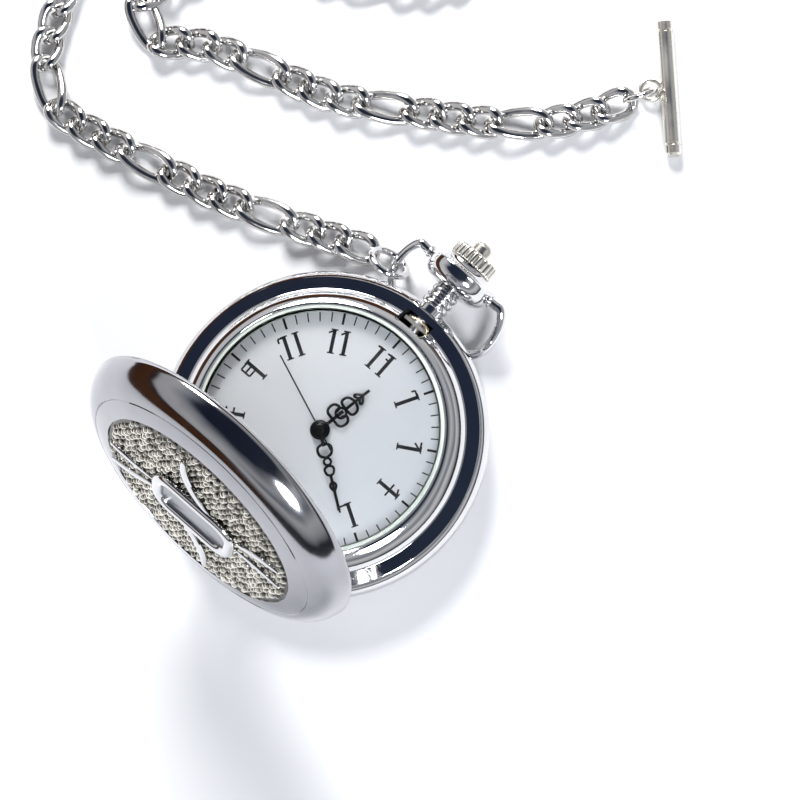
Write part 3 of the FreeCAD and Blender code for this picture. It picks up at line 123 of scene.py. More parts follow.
def make_world():
    """A photographer's table: pale walls all round, a dark ceiling, and a warm dark room low on one side."""
    world = bpy.data.worlds.new("studio")
    bpy.context.scene.world = world
    world.use_nodes = True
    nodes, links = world.node_tree.nodes, world.node_tree.links
    background = nodes["Background"]
    direction = nodes.new("ShaderNodeTexCoord")
    split = nodes.new("ShaderNodeSeparateXYZ")
    links.new(direction.outputs["Generated"], split.inputs[0])
    waver = nodes.new("ShaderNodeTexNoise")
    waver.inputs["Scale"].default_value = 1.7
    waver.inputs["Detail"].default_value = 1.5
    links.new(direction.outputs["Generated"], waver.inputs["Vector"])
    shifted = nodes.new("ShaderNodeMath")
    shifted.operation, shifted.inputs[1].default_value = "MULTIPLY_ADD", 0.30
    links.new(waver.outputs["Fac"], shifted.inputs[0])
    links.new(split.outputs["Z"], shifted.inputs[2])
    warm_side = ramp_node(nodes, [
        (0.0, (0.10, 0.05, 0.03)), (0.26, (0.16, 0.06, 0.025)), (0.38, (0.02, 0.02, 0.03)),
        (0.44, (0.95, 0.95, 0.97)), (0.66, (1.0, 1.0, 1.0)), (0.86, (0.50, 0.53, 0.58)),
        (1.02, (0.03, 0.04, 0.075)),
    ])
    cool_side = ramp_node(nodes, [
        (0.0, (0.10, 0.10, 0.11)), (0.20, (0.05, 0.055, 0.07)), (0.34, (0.60, 0.61, 0.64)),
        (0.50, (1.0, 1.0, 1.0)), (0.62, (0.30, 0.33, 0.38)), (0.80, (0.85, 0.87, 0.9)),
        (1.02, (0.04, 0.055, 0.09)),
    ])
    for ramp in (warm_side, cool_side):
        links.new(shifted.outputs[0], ramp.inputs[0])
    sides = nodes.new("ShaderNodeMapRange")
    sides.inputs["From Min"].default_value, sides.inputs["From Max"].default_value = -0.15, 0.25
    links.new(split.outputs["X"], sides.inputs["Value"])
    mix = nodes.new("ShaderNodeMix")
    mix.data_type = "RGBA"
    links.new(sides.outputs[0], mix.inputs["Factor"])
    links.new(warm_side.outputs[0], mix.inputs["A"])
    links.new(cool_side.outputs[0], mix.inputs["B"])
    links.new(mix.outputs["Result"], background.inputs["Color"])
    background.inputs["Strength"].default_value = 0.70
    bpy.context.scene.view_settings.view_transform = "Standard"


# ---------------------------------------------------------------- materials


def node_group(name, inputs, outputs):
    """An empty shader group with its sockets: inputs are (name, kind, value), outputs (name, kind)."""
    group = bpy.data.node_groups.new(name, "ShaderNodeTree")
    for socket, kind, value in inputs:
        made = group.interface.new_socket(socket, in_out="INPUT", socket_type=kind)
        if value is not None:
            made.default_value = value
    for socket, kind in outputs:
        group.interface.new_socket(socket, in_out="OUTPUT", socket_type=kind)
    return group


def handling_group():
    """Smudges and hairlines of a handled surface: a smudge mask, a hairline mask and a bumped normal."""
    group = node_group("handling", [("Vector", "NodeSocketVector", None), ("Scale", "NodeSocketFloat", 1.0),
                                    ("Depth", "NodeSocketFloat", 0.1)],
                       [("Smudge", "NodeSocketFloat"), ("Hairline", "NodeSocketFloat"),
                        ("Normal", "NodeSocketVector")])
    nodes, links = group.nodes, group.links
    given, out = nodes.new("NodeGroupInput"), nodes.new("NodeGroupOutput")
    sized = nodes.new("ShaderNodeVectorMath")
    sized.operation = "SCALE"
    links.new(given.outputs["Vector"], sized.inputs[0])
    links.new(given.outputs["Scale"], sized.inputs["Scale"])
    smudge = nodes.new("ShaderNodeTexNoise")
    smudge.inputs["Scale"].default_value = 180.0
    smudge.inputs["Detail"].default_value = 4.0
    links.new(sized.outputs[0], smudge.inputs["Vector"])
    links.new(smudge.outputs["Fac"], out.inputs["Smudge"])
    stretch = nodes.new("ShaderNodeMapping")
    stretch.inputs["Rotation"].default_value = (0.3, 0.2, 0.7)
    stretch.inputs["Scale"].default_value = (0.06, 1.0, 0.4)
    links.new(sized.outputs[0], stretch.inputs["Vector"])
    lines = nodes.new("ShaderNodeTexNoise")
    lines.inputs["Scale"].default_value = 9000.0
    lines.inputs["Detail"].default_value = 2.0
    links.new(stretch.outputs[0], lines.inputs["Vector"])
    thin = nodes.new("ShaderNodeMapRange")
    thin.inputs["From Min"].default_value = 0.62
    thin.inputs["From Max"].default_value = 0.72
    links.new(lines.outputs["Fac"], thin.inputs["Value"])
    links.new(thin.outputs[0], out.inputs["Hairline"])
    dents = nodes.new("ShaderNodeMath")
    dents.operation, dents.inputs[1].default_value = "MULTIPLY_ADD", 0.25
    links.new(thin.outputs[0], dents.inputs[0])
    links.new(smudge.outputs["Fac"], dents.inputs[2])
    bump = nodes.new("ShaderNodeBump")
    bump.inputs["Distance"].default_value = 0.00002
    links.new(given.outputs["Depth"], bump.inputs["Strength"])
    links.new(dents.outputs[0], bump.inputs["Height"])
    links.new(bump.outputs[0], out.inputs["Normal"])
    return group


HANDLING = handling_group()


class Finish:
    """A material under construction: a Principled shader with the handling group already placed."""

    def __init__(self, name, metallic, scale=1.0, depth=0.1):
        self.material = bpy.data.materials.new(name)
        self.material.use_nodes = True
        self.nodes, self.links = self.material.node_tree.nodes, self.material.node_tree.links
        self.shader = self.nodes["Principled BSDF"]
        self.shader.inputs["Metallic"].default_value = metallic
        self.place = self.nodes.new("ShaderNodeTexCoord")
        self.wear = self.nodes.new("ShaderNodeGroup")
        self.wear.node_tree = HANDLING
        self.wear.inputs["Scale"].default_value = scale
        self.wear.inputs["Depth"].default_value = depth
        self.links.new(self.place.outputs["Object"], self.wear.inputs["Vector"])
        self.links.new(self.wear.outputs["Normal"], self.shader.inputs["Normal"])

    def blend(self, factor, low, high, socket="Base Color"):
        """Mixes two colours by a mask and sends the result to a socket of the shader."""
        mix = self.nodes.new("ShaderNodeMix")
        mix.data_type = "RGBA"
        self.links.new(factor, mix.inputs["Factor"])
        mix.inputs["A"].default_value, mix.inputs["B"].default_value = (*low, 1), (*high, 1)
        self.links.new(mix.outputs["Result"], self.shader.inputs[socket])
        return mix.outputs["Result"]

    def spread(self, factor, low, high, socket="Roughness", bounds=(0.3, 0.7)):
        """Maps a mask to a range of values and sends it to a socket of the shader."""
        span = self.nodes.new("ShaderNodeMapRange")
        self.links.new(factor, span.inputs["Value"])
        for name, value in zip(("From Min", "From Max", "To Min", "To Max"), (*bounds, low, high)):
            span.inputs[name].default_value = value
        self.links.new(span.outputs[0], self.shader.inputs[socket])
        return span.outputs[0]

    def texture(self, kind, scale):
        """A texture node in the object's own coordinates."""
        made = self.nodes.new(kind)
        made.inputs["Scale"].default_value = scale
        self.links.new(self.place.outputs["Object"], made.inputs["Vector"])
        return made

    def bump(self, height, distance, strength=1.0):
        """Adds relief on top of the handling group's normal."""
        relief = self.nodes.new("ShaderNodeBump")
        relief.inputs["Distance"].default_value = distance * MM
        relief.inputs["Strength"].default_value = strength
        self.links.new(height, relief.inputs["Height"])
        self.links.new(self.wear.outputs["Normal"], relief.inputs["Normal"])
        self.links.new(relief.outputs[0], self.shader.inputs["Normal"])


def satin(name, low, high, metallic, rough=(0.3, 0.45), depth=0.2):
    """A plain surface whose colour and roughness vary with its smudges."""
    finish = Finish(name, metallic, depth=depth)
    finish.blend(finish.wear.outputs["Smudge"], low, high)
    finish.spread(finish.wear.outputs["Smudge"], *rough)
    return finish.material


def polished(name, low, high, rough=(0.03, 0.09), depth=0.12):
    """Plated or polished metal: a clear mirror that smudges and hairlines dull here and there."""
    return satin(name, low, high, 1.0, rough, depth)


def beaded_silver():
    """Champagne silver with cast beads: pale on the beads, with painted shade making the ground between them
    dark.
    """
    finish = Finish("beaded_silver", 1.0, depth=0.3)
    relief = finish.nodes.new("ShaderNodeAttribute")
    relief.attribute_name = "relief"
    # Painted shade: nearly black in the ground between the beads, pale on the bead tops.
    finish.blend(relief.outputs["Fac"], (0.045, 0.04, 0.034), (0.88, 0.85, 0.76))
    finish.spread(finish.wear.outputs["Smudge"], 0.08, 0.2)
    grain = finish.texture("ShaderNodeTexVoronoi", 3200.0)
    finish.bump(grain.outputs["Distance"], 0.03, 0.5)
    return finish.material


def dial_face():
    """Satin silver-white dial paint over a fine grain, with a painted glow of light that makes it whiter
    towards 9 o'clock.
    """
    finish = Finish("dial_face", 0.15, scale=1.6, depth=0.05)
    split = finish.nodes.new("ShaderNodeSeparateXYZ")
    finish.links.new(finish.place.outputs["Object"], split.inputs[0])
    # Painted light: the dial goes from bluish grey to white along X, whiter towards 9 o'clock where the light
    # falls.
    across = finish.nodes.new("ShaderNodeMapRange")
    for name, value in zip(("From Min", "From Max", "To Min", "To Max"), (0.016, -0.016, 0.0, 1.0)):
        across.inputs[name].default_value = value
    finish.links.new(split.outputs["X"], across.inputs["Value"])
    smudge_and_painted_glow = finish.nodes.new("ShaderNodeMath")
    smudge_and_painted_glow.operation, smudge_and_painted_glow.inputs[1].default_value = "MULTIPLY_ADD", 0.12
    finish.links.new(finish.wear.outputs["Smudge"], smudge_and_painted_glow.inputs[0])
    finish.links.new(across.outputs[0], smudge_and_painted_glow.inputs[2])
    # The painted glow of light, plus a little real smudge, mixes bluish grey into white.
    finish.blend(smudge_and_painted_glow.outputs[0], (0.72, 0.75, 0.79), (0.93, 0.935, 0.945))
    finish.spread(finish.wear.outputs["Smudge"], 0.32, 0.44)
    return finish.material


def crystal_glass():
    """Clear mineral glass with the faintest smudges."""
    finish = Finish("crystal_glass", 0.0, depth=0.02)
    shader = finish.shader
    shader.inputs["Transmission Weight"].default_value = 1.0
    shader.inputs["IOR"].default_value = 1.05
    finish.blend(finish.wear.outputs["Smudge"], (0.97, 0.98, 0.98), (1.0, 1.0, 1.0))
    finish.spread(finish.wear.outputs["Smudge"], 0.0, 0.02)
    return finish.material


FINISHES = {
    "chrome": polished("chrome", (0.60, 0.60, 0.61), (0.74, 0.74, 0.75)),
    # Painted shade: the lid's chrome is a darker copy of the case's chrome, standing in for the lid's darker
    # reflections.
    "lid_chrome": polished("lid_chrome", (0.31, 0.31, 0.33), (0.44, 0.44, 0.46), rough=(0.05, 0.14)),
    "chain_chrome": polished("chain_chrome", (0.50, 0.48, 0.46), (0.72, 0.72, 0.72), rough=(0.06, 0.18),
                             depth=0.4),
    "warm_silver": polished("warm_silver", (0.66, 0.63, 0.57), (0.82, 0.79, 0.73), rough=(0.2, 0.34)),
    "beaded_silver": beaded_silver(),
    "plaque": satin("plaque", (0.30, 0.31, 0.33), (0.42, 0.43, 0.45), 1.0, rough=(0.28, 0.42)),
    "steel": satin("steel", (0.45, 0.45, 0.46), (0.60, 0.60, 0.61), 1.0),
    "gasket": satin("gasket", (0.50, 0.55, 0.51), (0.60, 0.64, 0.60), 0.0, rough=(0.4, 0.55)),
    "back_gasket": satin("back_gasket", (0.02, 0.02, 0.02), (0.05, 0.05, 0.05), 0.0, rough=(0.6, 0.75)),
    "crystal": crystal_glass(),
    "dial": dial_face(),
    "ink": satin("ink", (0.002, 0.002, 0.003), (0.008, 0.008, 0.010), 0.0, rough=(0.4, 0.55)),
    "hands": satin("hands", (0.002, 0.002, 0.003), (0.008, 0.008, 0.009), 0.0, rough=(0.26, 0.40)),
    # Painted shade: a near-black finish for the sheets put inside the catch's slot.
    "slot_painted_shade": satin("slot_painted_shade", (0.012, 0.011, 0.012), (0.03, 0.028, 0.028), 0.3, rough=(0.4, 0.6)),
    "wire_brass": satin("wire_brass", (0.62, 0.52, 0.34), (0.78, 0.68, 0.48), 1.0, rough=(0.12, 0.25)),
    "brass": satin("brass", (0.55, 0.42, 0.22), (0.70, 0.56, 0.32), 1.0),
    "movement_plastic": satin("movement_plastic", (0.62, 0.61, 0.55), (0.74, 0.73, 0.68), 0.0),
    "rotor": satin("rotor", (0.05, 0.05, 0.06), (0.10, 0.10, 0.11), 0.2),
    "board": satin("board", (0.02, 0.12, 0.05), (0.04, 0.20, 0.09), 0.0),
    "chip": satin("chip", (0.01, 0.01, 0.01), (0.03, 0.03, 0.03), 0.0),
    "can": satin("can", (0.60, 0.60, 0.62), (0.74, 0.74, 0.76), 1.0),
    "coil": satin("coil", (0.35, 0.12, 0.05), (0.55, 0.22, 0.10), 0.7),
}


def dress_cad():
    """Gives each CAD node the finish of its material slot, shaded smooth between its sharp edges."""
    slots = {entry["node"]: entry["material_slot"] for entry in frame["record"]["subparts"]}
    for name, obj in frame["nodes"].items():
        material = FINISHES[slots[name]]
        if name == "t_bar_ring":
            material = FINISHES["chain_chrome"]
        elif name in ("t_bar", "lid_catch", "push_button"):
            material = FINISHES["warm_silver"]
        for index in range(max(1, len(obj.material_slots))):
            if obj.material_slots:
                obj.material_slots[index].material = material
            else:
                obj.data.materials.append(material)
        obj.data.shade_smooth()
        obj.data.set_sharp_from_angle(angle=math.radians(30))


# ---------------------------------------------------------------- surfaces


def grid_faces(rows, columns, loop):
    """The quads of a grid of points, row by row, as an array; each row is closed round its columns."""
    last = rows if loop else rows - 1
    row, column = np.meshgrid(np.arange(last), np.arange(columns), indexing="ij")
    next_row, next_column = (row + 1) % rows, (column + 1) % columns
    corners = [(row, column), (row, next_column), (next_row, next_column), (next_row, column)]
    return np.stack([r * columns + c for r, c in corners], -1).reshape(-1, 4)


def surface(name, rings, finish, body, loop=False, sharp=32):
    """A closed surface through rings of points, in millimetres.

    Ring i joins ring i + 1. With loop the last ring joins the first, and otherwise each end ring
    is closed by a fan to its middle point. The faces are turned so that the volume is positive.
    """
    rings = np.asarray(rings, dtype=float)
    rows, columns = rings.shape[:2]
    faces = grid_faces(rows, columns, loop).tolist()
    points = rings.reshape(-1, 3)
    if not loop:
        for ring, order in ((0, -1), (rows - 1, 1)):
            points = np.vstack([points, rings[ring].mean(0)])
            around = range(columns) if order == 1 else range(columns - 1, -1, -1)
            faces += [[ring * columns + c, ring * columns + (c + order) % columns, len(points) - 1]
                      for c in around]
    first = np.array([[face[0], face[i], face[i + 1]] for face in faces for i in range(1, len(face) - 1)])
    a, b, c = points[first[:, 0]], points[first[:, 1]], points[first[:, 2]]
    if np.einsum("ij,ij->i", a, np.cross(b, c)).sum() < 0:
        faces = [face[::-1] for face in faces]
    return solid(name, points, faces, finish, body, sharp)


def solid(name, points, faces, finish, body, sharp=32):
    """An object from points in millimetres and faces, riding on a body."""
    mesh = bpy.data.meshes.new(name)
    mesh.from_pydata((np.asarray(points) * MM).tolist(), [], faces)
    mesh.shade_smooth()
    mesh.set_sharp_from_angle(angle=math.radians(sharp))
    mesh.materials.append(FINISHES[finish])
    made = bpy.data.objects.new(name, mesh)
    bpy.context.collection.objects.link(made)
    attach(made, body)
    return made


def arc(start, end, radius, side, steps=14):
    """Points of the arc between two points, bulging to one side, without its end points."""
    start, end = np.array(start, float), np.array(end, float)
    chord = end - start
    half = np.linalg.norm(chord) / 2
    normal = np.array([-chord[1], chord[0]]) / (2 * half)
    centre = (start + end) / 2 + side * normal * math.sqrt(max(radius**2 - half**2, 0))
    first = math.atan2(*(start - centre)[::-1])
    turn = (math.atan2(*(end - centre)[::-1]) - first + math.pi) % (2 * math.pi) - math.pi
    angles = [first + turn * k / steps for k in range(1, steps)]
    return [centre + radius * np.array([math.cos(angle), math.sin(angle)]) for angle in angles]


def outline(items):
    """A profile from its corners, where ("round", radius, side) makes an arc to the next corner."""
    points = []
    for index, item in enumerate(items):
        if item[0] == "round":
            points += arc(items[index - 1], items[index + 1], item[1], item[2])
        else:
            points.append(np.array(item, float))
    return np.array(points)


def turned(profile, columns=180, flute=None):
    """Rings of a profile of (radius, height) turned about Z. flute maps angles to radius factors."""
    angles = np.linspace(0, 2 * math.pi, columns, endpoint=False)
    radii, heights = profile[:, :1], profile[:, 1:]
    grown = radii * (flute(angles, profile) if flute else np.ones((1, columns)))
    return np.stack([grown * np.cos(angles), grown * np.sin(angles), heights + 0 * angles], -1)


def standing(rings):
    """Rings turned about Z laid along +Y, on the crown's axis."""
    x, y, z = rings[..., 0], rings[..., 1], rings[..., 2]
    return np.stack([x, z, STEM_HEIGHT - y], -1)


def opened(points):
    """Points of the closed lid, turned with it about the hinge to where it stands open."""
    points = np.asarray(points, float) - HINGE
    y, z = points[..., 1], points[..., 2]
    cosine, sine = math.cos(LID_OPEN), math.sin(LID_OPEN)
    return np.stack([points[..., 0], y * cosine - z * sine, y * sine + z * cosine], -1) + HINGE


def wire(points, half_wide, half_thick, up, closed, columns=14):
    """Rings of an oval section swept along points. up is the thick side's direction, one or per point."""
    points = np.asarray(points, float)
    if closed:
        along = np.roll(points, -1, 0) - np.roll(points, 1, 0)
    else:
        along = np.gradient(points, axis=0)
    along /= np.linalg.norm(along, axis=1, keepdims=True)
    side = np.cross(along, np.broadcast_to(up, points.shape))
    side /= np.linalg.norm(side, axis=1, keepdims=True)
    top = np.cross(side, along)
    angles = np.linspace(0, 2 * math.pi, columns, endpoint=False)
    wide = np.broadcast_to(half_wide, len(points))[:, None, None]
    thick = np.broadcast_to(half_thick, len(points))[:, None, None]
    return (points[:, None] + wide * np.cos(angles)[None, :, None] * side[:, None]
            + thick * np.sin(angles)[None, :, None] * top[:, None])


def curve(points, closed=False, times=4):
    """A smooth line from a few corners, by cutting each corner a quarter of the way, again and again."""
    points = np.asarray(points, float)
    for _ in range(times):
        following = np.roll(points, -1, 0) if closed else points[1:]
        kept = points if closed else points[:-1]
        cut = np.stack([0.75 * kept + 0.25 * following, 0.25 * kept + 0.75 * following], 1)
        cut = cut.reshape(-1, points.shape[1])
        points = cut if closed else np.vstack([points[:1], cut, points[-1:]])
    return points


# ---------------------------------------------------------------- chain


def route_points():
    """The route's smooth line: a NURBS spline through the table's plane, read back as points."""
    data = bpy.data.curves.new("chain_route", "CURVE")
    data.dimensions = "3D"
    data.resolution_u = 24
    spline = data.splines.new("NURBS")
    spline.points.add(len(CHAIN_ROUTE) - 1)
    for point, (x, y) in zip(spline.points, CHAIN_ROUTE):
        point.co = (x * MM, y * MM, CHAIN_HEIGHT * MM, 1.0)
    spline.order_u = 3
    spline.use_endpoint_u = True
    guide = bpy.data.objects.new("chain_route", data)
    mesh = bpy.data.meshes.new_from_object(guide)
    line = np.array([vertex.co for vertex in mesh.vertices]) / MM
    bpy.data.objects.remove(guide)
    bpy.data.meshes.remove(mesh)
    return line


def chain_contacts(line, stretch):
    """Where each link meets the next along the line, and each link's kind: three short, one long."""
    contacts, kinds, place = [line[0]], [], 0
    while len(kinds) < LINKS:
        kind = "long" if len(kinds) % 4 == 3 else "short"
        span = (LONG_PITCH if kind == "long" else SHORT_PITCH) * stretch
        while place < len(line) and np.linalg.norm(line[place] - contacts[-1]) < span:
            place += 1
        if place == len(line):
            break
        towards = line[place] - contacts[-1]
        contacts.append(contacts[-1] + towards * span / np.linalg.norm(towards))
        kinds.append(kind)
    return np.array(contacts), kinds


def fitted_contacts(line):
    """The contacts with the links drawn together just enough for all of them to fit on the line."""
    tight, wide = 0.9, 1.1
    for _ in range(30):
        stretch = (tight + wide) / 2
        if len(chain_contacts(line, stretch)[1]) == LINKS:
            tight = stretch
        else:
            wide = stretch
    return chain_contacts(line, tight)


def link_rings(half_length, steps):
    """One curb link: an oval loop of flattened wire that rises and falls twice round the loop."""
    turn = np.linspace(0, 2 * math.pi, steps, endpoint=False)
    round_end = np.sign(np.cos(turn)) * np.abs(np.cos(turn)) ** 0.9
    points = np.stack([half_length * round_end, LINK_HALF_WIDTH * np.sin(turn),
                       LINK_TWIST * np.sin(2 * turn)], -1)
    return wire(points, LINK_HALF_WIDE, LINK_HALF_THICK, UP, closed=True, columns=12)


def make_chain():
    """The chain as one piece: each link lies between two contacts, rolled a little by chance."""
    line = route_points()
    contacts, kinds = fitted_contacts(line)
    shapes = {"short": link_rings(SHORT_HALF, 44), "long": link_rings(LONG_HALF, 56)}
    points, faces, count = [], [], 0
    chance = np.random.default_rng(7)
    for kind, start, end in zip(kinds, contacts, contacts[1:]):
        ahead = (end - start) / np.linalg.norm(end - start)
        roll = math.radians(chance.uniform(-LINK_ROLL, LINK_ROLL))
        side = np.array([-ahead[1], ahead[0], 0])
        lift = np.array([0, 0, 1.0])
        across = side * math.cos(roll) + lift * math.sin(roll)
        rings = shapes[kind]
        placed = ((start + end) / 2 + rings[..., :1] * ahead + rings[..., 1:2] * across
                  + rings[..., 2:] * np.cross(ahead, across))
        rows, columns = rings.shape[:2]
        outward = grid_faces(rows, columns, loop=True)[:, [0, 3, 2, 1]]
        points.append(placed.reshape(-1, 3))
        faces += (outward + count).tolist()
        count += rows * columns
    points = np.vstack(points)
    points[:, 2] = np.maximum(points[:, 2], LINK_LOWEST)
    chain = solid("chain", points, faces, "chain_chrome", "case", sharp=60)
    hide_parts("chain_short_links", "chain_long_links")


# ---------------------------------------------------------------- lid


def make_lid():
    """The lid's dome, turned from its profile, with its hinge knuckle and its hook."""
    outer = outline([
        (LID_LIP_RADIUS, LID_RIM_HEIGHT + 0.25), (LID_LIP_RADIUS + 0.25, LID_RIM_HEIGHT),
        (LID_RADIUS - 0.55, LID_RIM_HEIGHT), ("round", 1.0, 1), (LID_RADIUS, HINGE[2]),
        ("round", 4.6, 1), (GROOVE_RADIUS + 0.12, GROOVE_HEIGHT), (GROOVE_RADIUS, GROOVE_HEIGHT - 0.12),
        (GROOVE_RADIUS - 0.12, GROOVE_HEIGHT + 0.04), ("round", 12.0, 1),
        (MEDALLION_RADIUS + 0.12, MEDALLION_EDGE + 0.03), (MEDALLION_RADIUS, MEDALLION_EDGE - 0.2),
        (0.4, MEDALLION_EDGE - 0.2), (0.4, MEDALLION_EDGE - LID_WALL - 0.3),
        (MEDALLION_RADIUS, MEDALLION_EDGE - LID_WALL - 0.4),
        (GROOVE_RADIUS - 0.3, GROOVE_HEIGHT - 1.6 * LID_WALL), ("round", 4.0, -1),
        (LID_LIP_RADIUS + 0.9, HINGE[2] + 0.2), (LID_LIP_RADIUS, HINGE[2] - 0.4),
    ])
    shell = surface("lid_dome", opened(turned(outer, 360)), "lid_chrome", "lid", loop=True)
    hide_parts("lid_shell")
    knuckle = outline([(0.9, -2.5), (0.9, 2.5)])
    rings = turned(knuckle, 48)
    rings = np.stack([rings[..., 2], rings[..., 0] + HINGE[1], rings[..., 1] + HINGE[2]], -1)
    surface("lid_knuckle", rings, "chrome", "lid")
    hook = box_rings((-1.5, 1.5), (19.75, 20.15), (6.95, 8.7))
    surface("lid_hook", opened(hook), "chrome", "lid")


def box_rings(x, y, z):
    """Two rings of four corners: a block between pairs of limits."""
    return [[(a, b, c) for a, b in ((x[0], y[0]), (x[1], y[0]), (x[1], y[1]), (x[0], y[1]))] for c in z]


def bead_places(chance):
    """Beads over the medallion: a hexagonal net, each bead moved a little and sized by chance."""
    step = 1.05
    beads = []
    for row in range(-18, 19):
        for column in range(-16, 17):
            x = (column + 0.5 * (row % 2)) * step + chance.uniform(-0.2, 0.2)
            y = row * step * 0.87 + chance.uniform(-0.2, 0.2)
            if math.hypot(x, y) < MEDALLION_RADIUS - 0.5:
                beads.append((x, y, chance.uniform(0.30, 0.56)))
    return beads


def make_medallion():
    """A low dome with beads: its height is the tallest bead's or the ground's at each point."""
    chance = np.random.default_rng(11)
    angles = np.linspace(0, 2 * math.pi, 640, endpoint=False)
    radii = np.linspace(0.1, MEDALLION_RADIUS - 0.05, 108)
    r, a = np.meshgrid(radii, angles, indexing="ij")
    x, y = r * np.cos(a), r * np.sin(a)
    ground = MEDALLION_TOP - (MEDALLION_TOP - MEDALLION_EDGE) * (r / MEDALLION_RADIUS) ** 2 - 0.12
    relief = np.zeros_like(r)
    for bead_x, bead_y, size in bead_places(chance):
        near = size**2 - (x - bead_x) ** 2 - (y - bead_y) ** 2
        relief = np.maximum(relief, np.sqrt(np.maximum(near, 0)) * 0.9)
    top = np.stack([x, y, ground + relief], -1)
    floor = np.stack([x[-1], y[-1], 0 * x[-1] + MEDALLION_EDGE - 0.38], -1)
    disc = surface("bead_disc", opened(np.concatenate([top, floor[None]])), "beaded_silver", "lid",
                   sharp=50)
    # The bead heights are stored for the painted shade that darkens the ground between the beads.
    shade = disc.data.attributes.new("relief", "FLOAT", "POINT")
    height = np.zeros(len(disc.data.vertices), dtype=np.float32)
    height[: relief.size] = np.clip(relief.ravel() / 0.36, 0, 1)
    shade.data.foreach_set("value", height)
    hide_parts("lid_medallion")


def stadium(half_length, half_width, corner, steps=12):
    """A rounded rectangle in the plane, as points."""
    points = []
    for quarter, (sx, sy) in enumerate(((1, 1), (-1, 1), (-1, -1), (1, -1))):
        for step in range(steps + 1):
            turn = math.pi / 2 * (quarter + step / steps)
            points.append((sx * (half_length - corner) + corner * math.cos(turn),
                           sy * (half_width - corner) + corner * math.sin(turn)))
    return np.array(points)


def blade(name, corners, width, height):
    """A curved leaf: an oval section along a smooth line, thin at both ends."""
    line = curve([(x, y, height) for x, y in corners])
    part = np.linspace(0, 1, len(line))
    swell = np.sin(math.pi * np.clip(part, 0.02, 0.98)) ** 0.7
    surface(name, opened(wire(line, width * swell, 0.45 * width * swell, UP, False, 12)),
            "chrome", "lid")


def make_cartouche():
    """The raised frame in the middle of the lid, its plaque, and the curved leaves beside it."""
    base = stadium(6.2, 3.5, 2.6)
    line = np.column_stack([base, np.full(len(base), MEDALLION_TOP + 0.55)])
    surface("lid_cartouche", opened(wire(line, 0.85, 0.55, UP, True, 18)), "chrome", "lid",
            loop=True)
    plate = stadium(5.4, 2.8, 2.0)
    rings = [np.column_stack([plate * grow, np.full(len(plate), MEDALLION_TOP + up)])
             for grow, up in ((1, 0.0), (1, 0.42), (0.97, 0.5))]
    plaque = surface("plaque_plate", opened(rings), "plaque", "lid")
    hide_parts("lid_plaque")
    high = MEDALLION_TOP + 0.45
    for name, opposite, corners, width, drop in (
            ("long", "long_low", [(-2.6, 13.0), (-2.4, 10.0), (-1.3, 7.6), (0.6, 5.2), (2.6, 3.9)], 0.7, 0.0),
            ("right_up", "left_down", [(7.0, 2.0), (9.6, 3.4), (12.0, 4.2), (14.4, 4.7)], 0.55, 0.15),
            ("right", "left", [(7.2, 0.2), (10.4, 0.5), (12.8, 0.5), (14.8, 0.3)], 0.5, 0.15)):
        blade(f"blade_{name}", corners, width, high - drop)
        blade(f"blade_{opposite}", [(-x, -y) for x, y in corners], width, high - drop)


# ---------------------------------------------------------------- case


def make_bezel():
    """The bezel's ring; where it crosses the catch's slot it stops at the slot's inner wall."""
    profile = outline([
        (BEZEL_BORE, BEZEL_FOOT + 0.5), (BEZEL_RADIUS - 0.05, BEZEL_FOOT + 0.5),
        (BEZEL_RADIUS, 7.42), (BEZEL_RADIUS + 0.75, 7.38), (BEZEL_RADIUS + 0.72, 7.6),
        ("round", 4.2, 1), (BEZEL_BORE + 0.35, BEZEL_TOP),
        ("round", 0.3, 1), (BEZEL_BORE, BEZEL_TOP - 0.25),
    ])
    rings = turned(profile, 720)
    in_slot = (np.abs(rings[..., 0]) < SLOT_HALF) & (rings[..., 1] > SLOT_INNER)
    rings[..., 1] = np.where(in_slot, SLOT_INNER, rings[..., 1])
    bezel = surface("bezel_ring", rings, "chrome", "case", loop=True)
    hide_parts("bezel")


def make_pendant():
    """The ribbed neck and the bell, turned about the crown's axis."""
    ribs = []
    waist = NECK_RADIUS - RIB_DEPTH
    for index in range(3):
        ribs += [(waist, NECK_FOOT + index * RIB_PITCH), ("round", 0.51 * RIB_PITCH, 1)]
    bell = NECK_FOOT + 3 * RIB_PITCH
    profile = outline([
        (0.86, 21.6), (waist, 21.6), *ribs, (waist, bell), (NECK_RADIUS + 0.3, bell + 0.35),
        ("round", 2.1, 1), (BELL_RADIUS, BELL_HEIGHT), ("round", 0.4, 1),
        (BELL_RADIUS - 0.2, BELL_HEIGHT + 0.5),
        ("round", 1.3, -1), (CROWN_RADIUS + 0.05, BELL_END), (0.86, BELL_END),
    ])
    made = surface("pendant_bell", standing(turned(profile, 160)), "chrome", "case", loop=True,
                   sharp=40)
    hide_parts("pendant")


def make_crown():
    """The fluted crown: its outer radius dips by a tenth in each of its grooves."""
    def flute(angles, profile):
        groove = np.clip(np.abs(np.sin(angles * FLUTES / 2)), 0, 1) ** 0.5
        depth = np.where(profile[:, :1] > CROWN_RADIUS - 0.5, 0.09, 0.0)
        return 1 - depth * (1 - groove[None])
    profile = outline([
        (0.86, CROWN_START), (CROWN_RADIUS - 0.3, CROWN_START), ("round", 0.32, 1),
        (CROWN_RADIUS, CROWN_START + 0.3), (CROWN_RADIUS, CROWN_START + 1.0),
        (CROWN_RADIUS, CROWN_START + CROWN_LENGTH - 0.4), ("round", 0.45, 1),
        (CROWN_RADIUS - 0.4, CROWN_START + CROWN_LENGTH), (BUTTON_RADIUS + 0.06, CROWN_START + CROWN_LENGTH),
        (BUTTON_RADIUS + 0.06, CROWN_START + 0.9), (0.86, CROWN_START + 0.9),
    ])
    made = surface("crown_fluted", standing(turned(profile, 480, flute)), "warm_silver", "crown", loop=True,
                   sharp=40)
    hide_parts("crown")


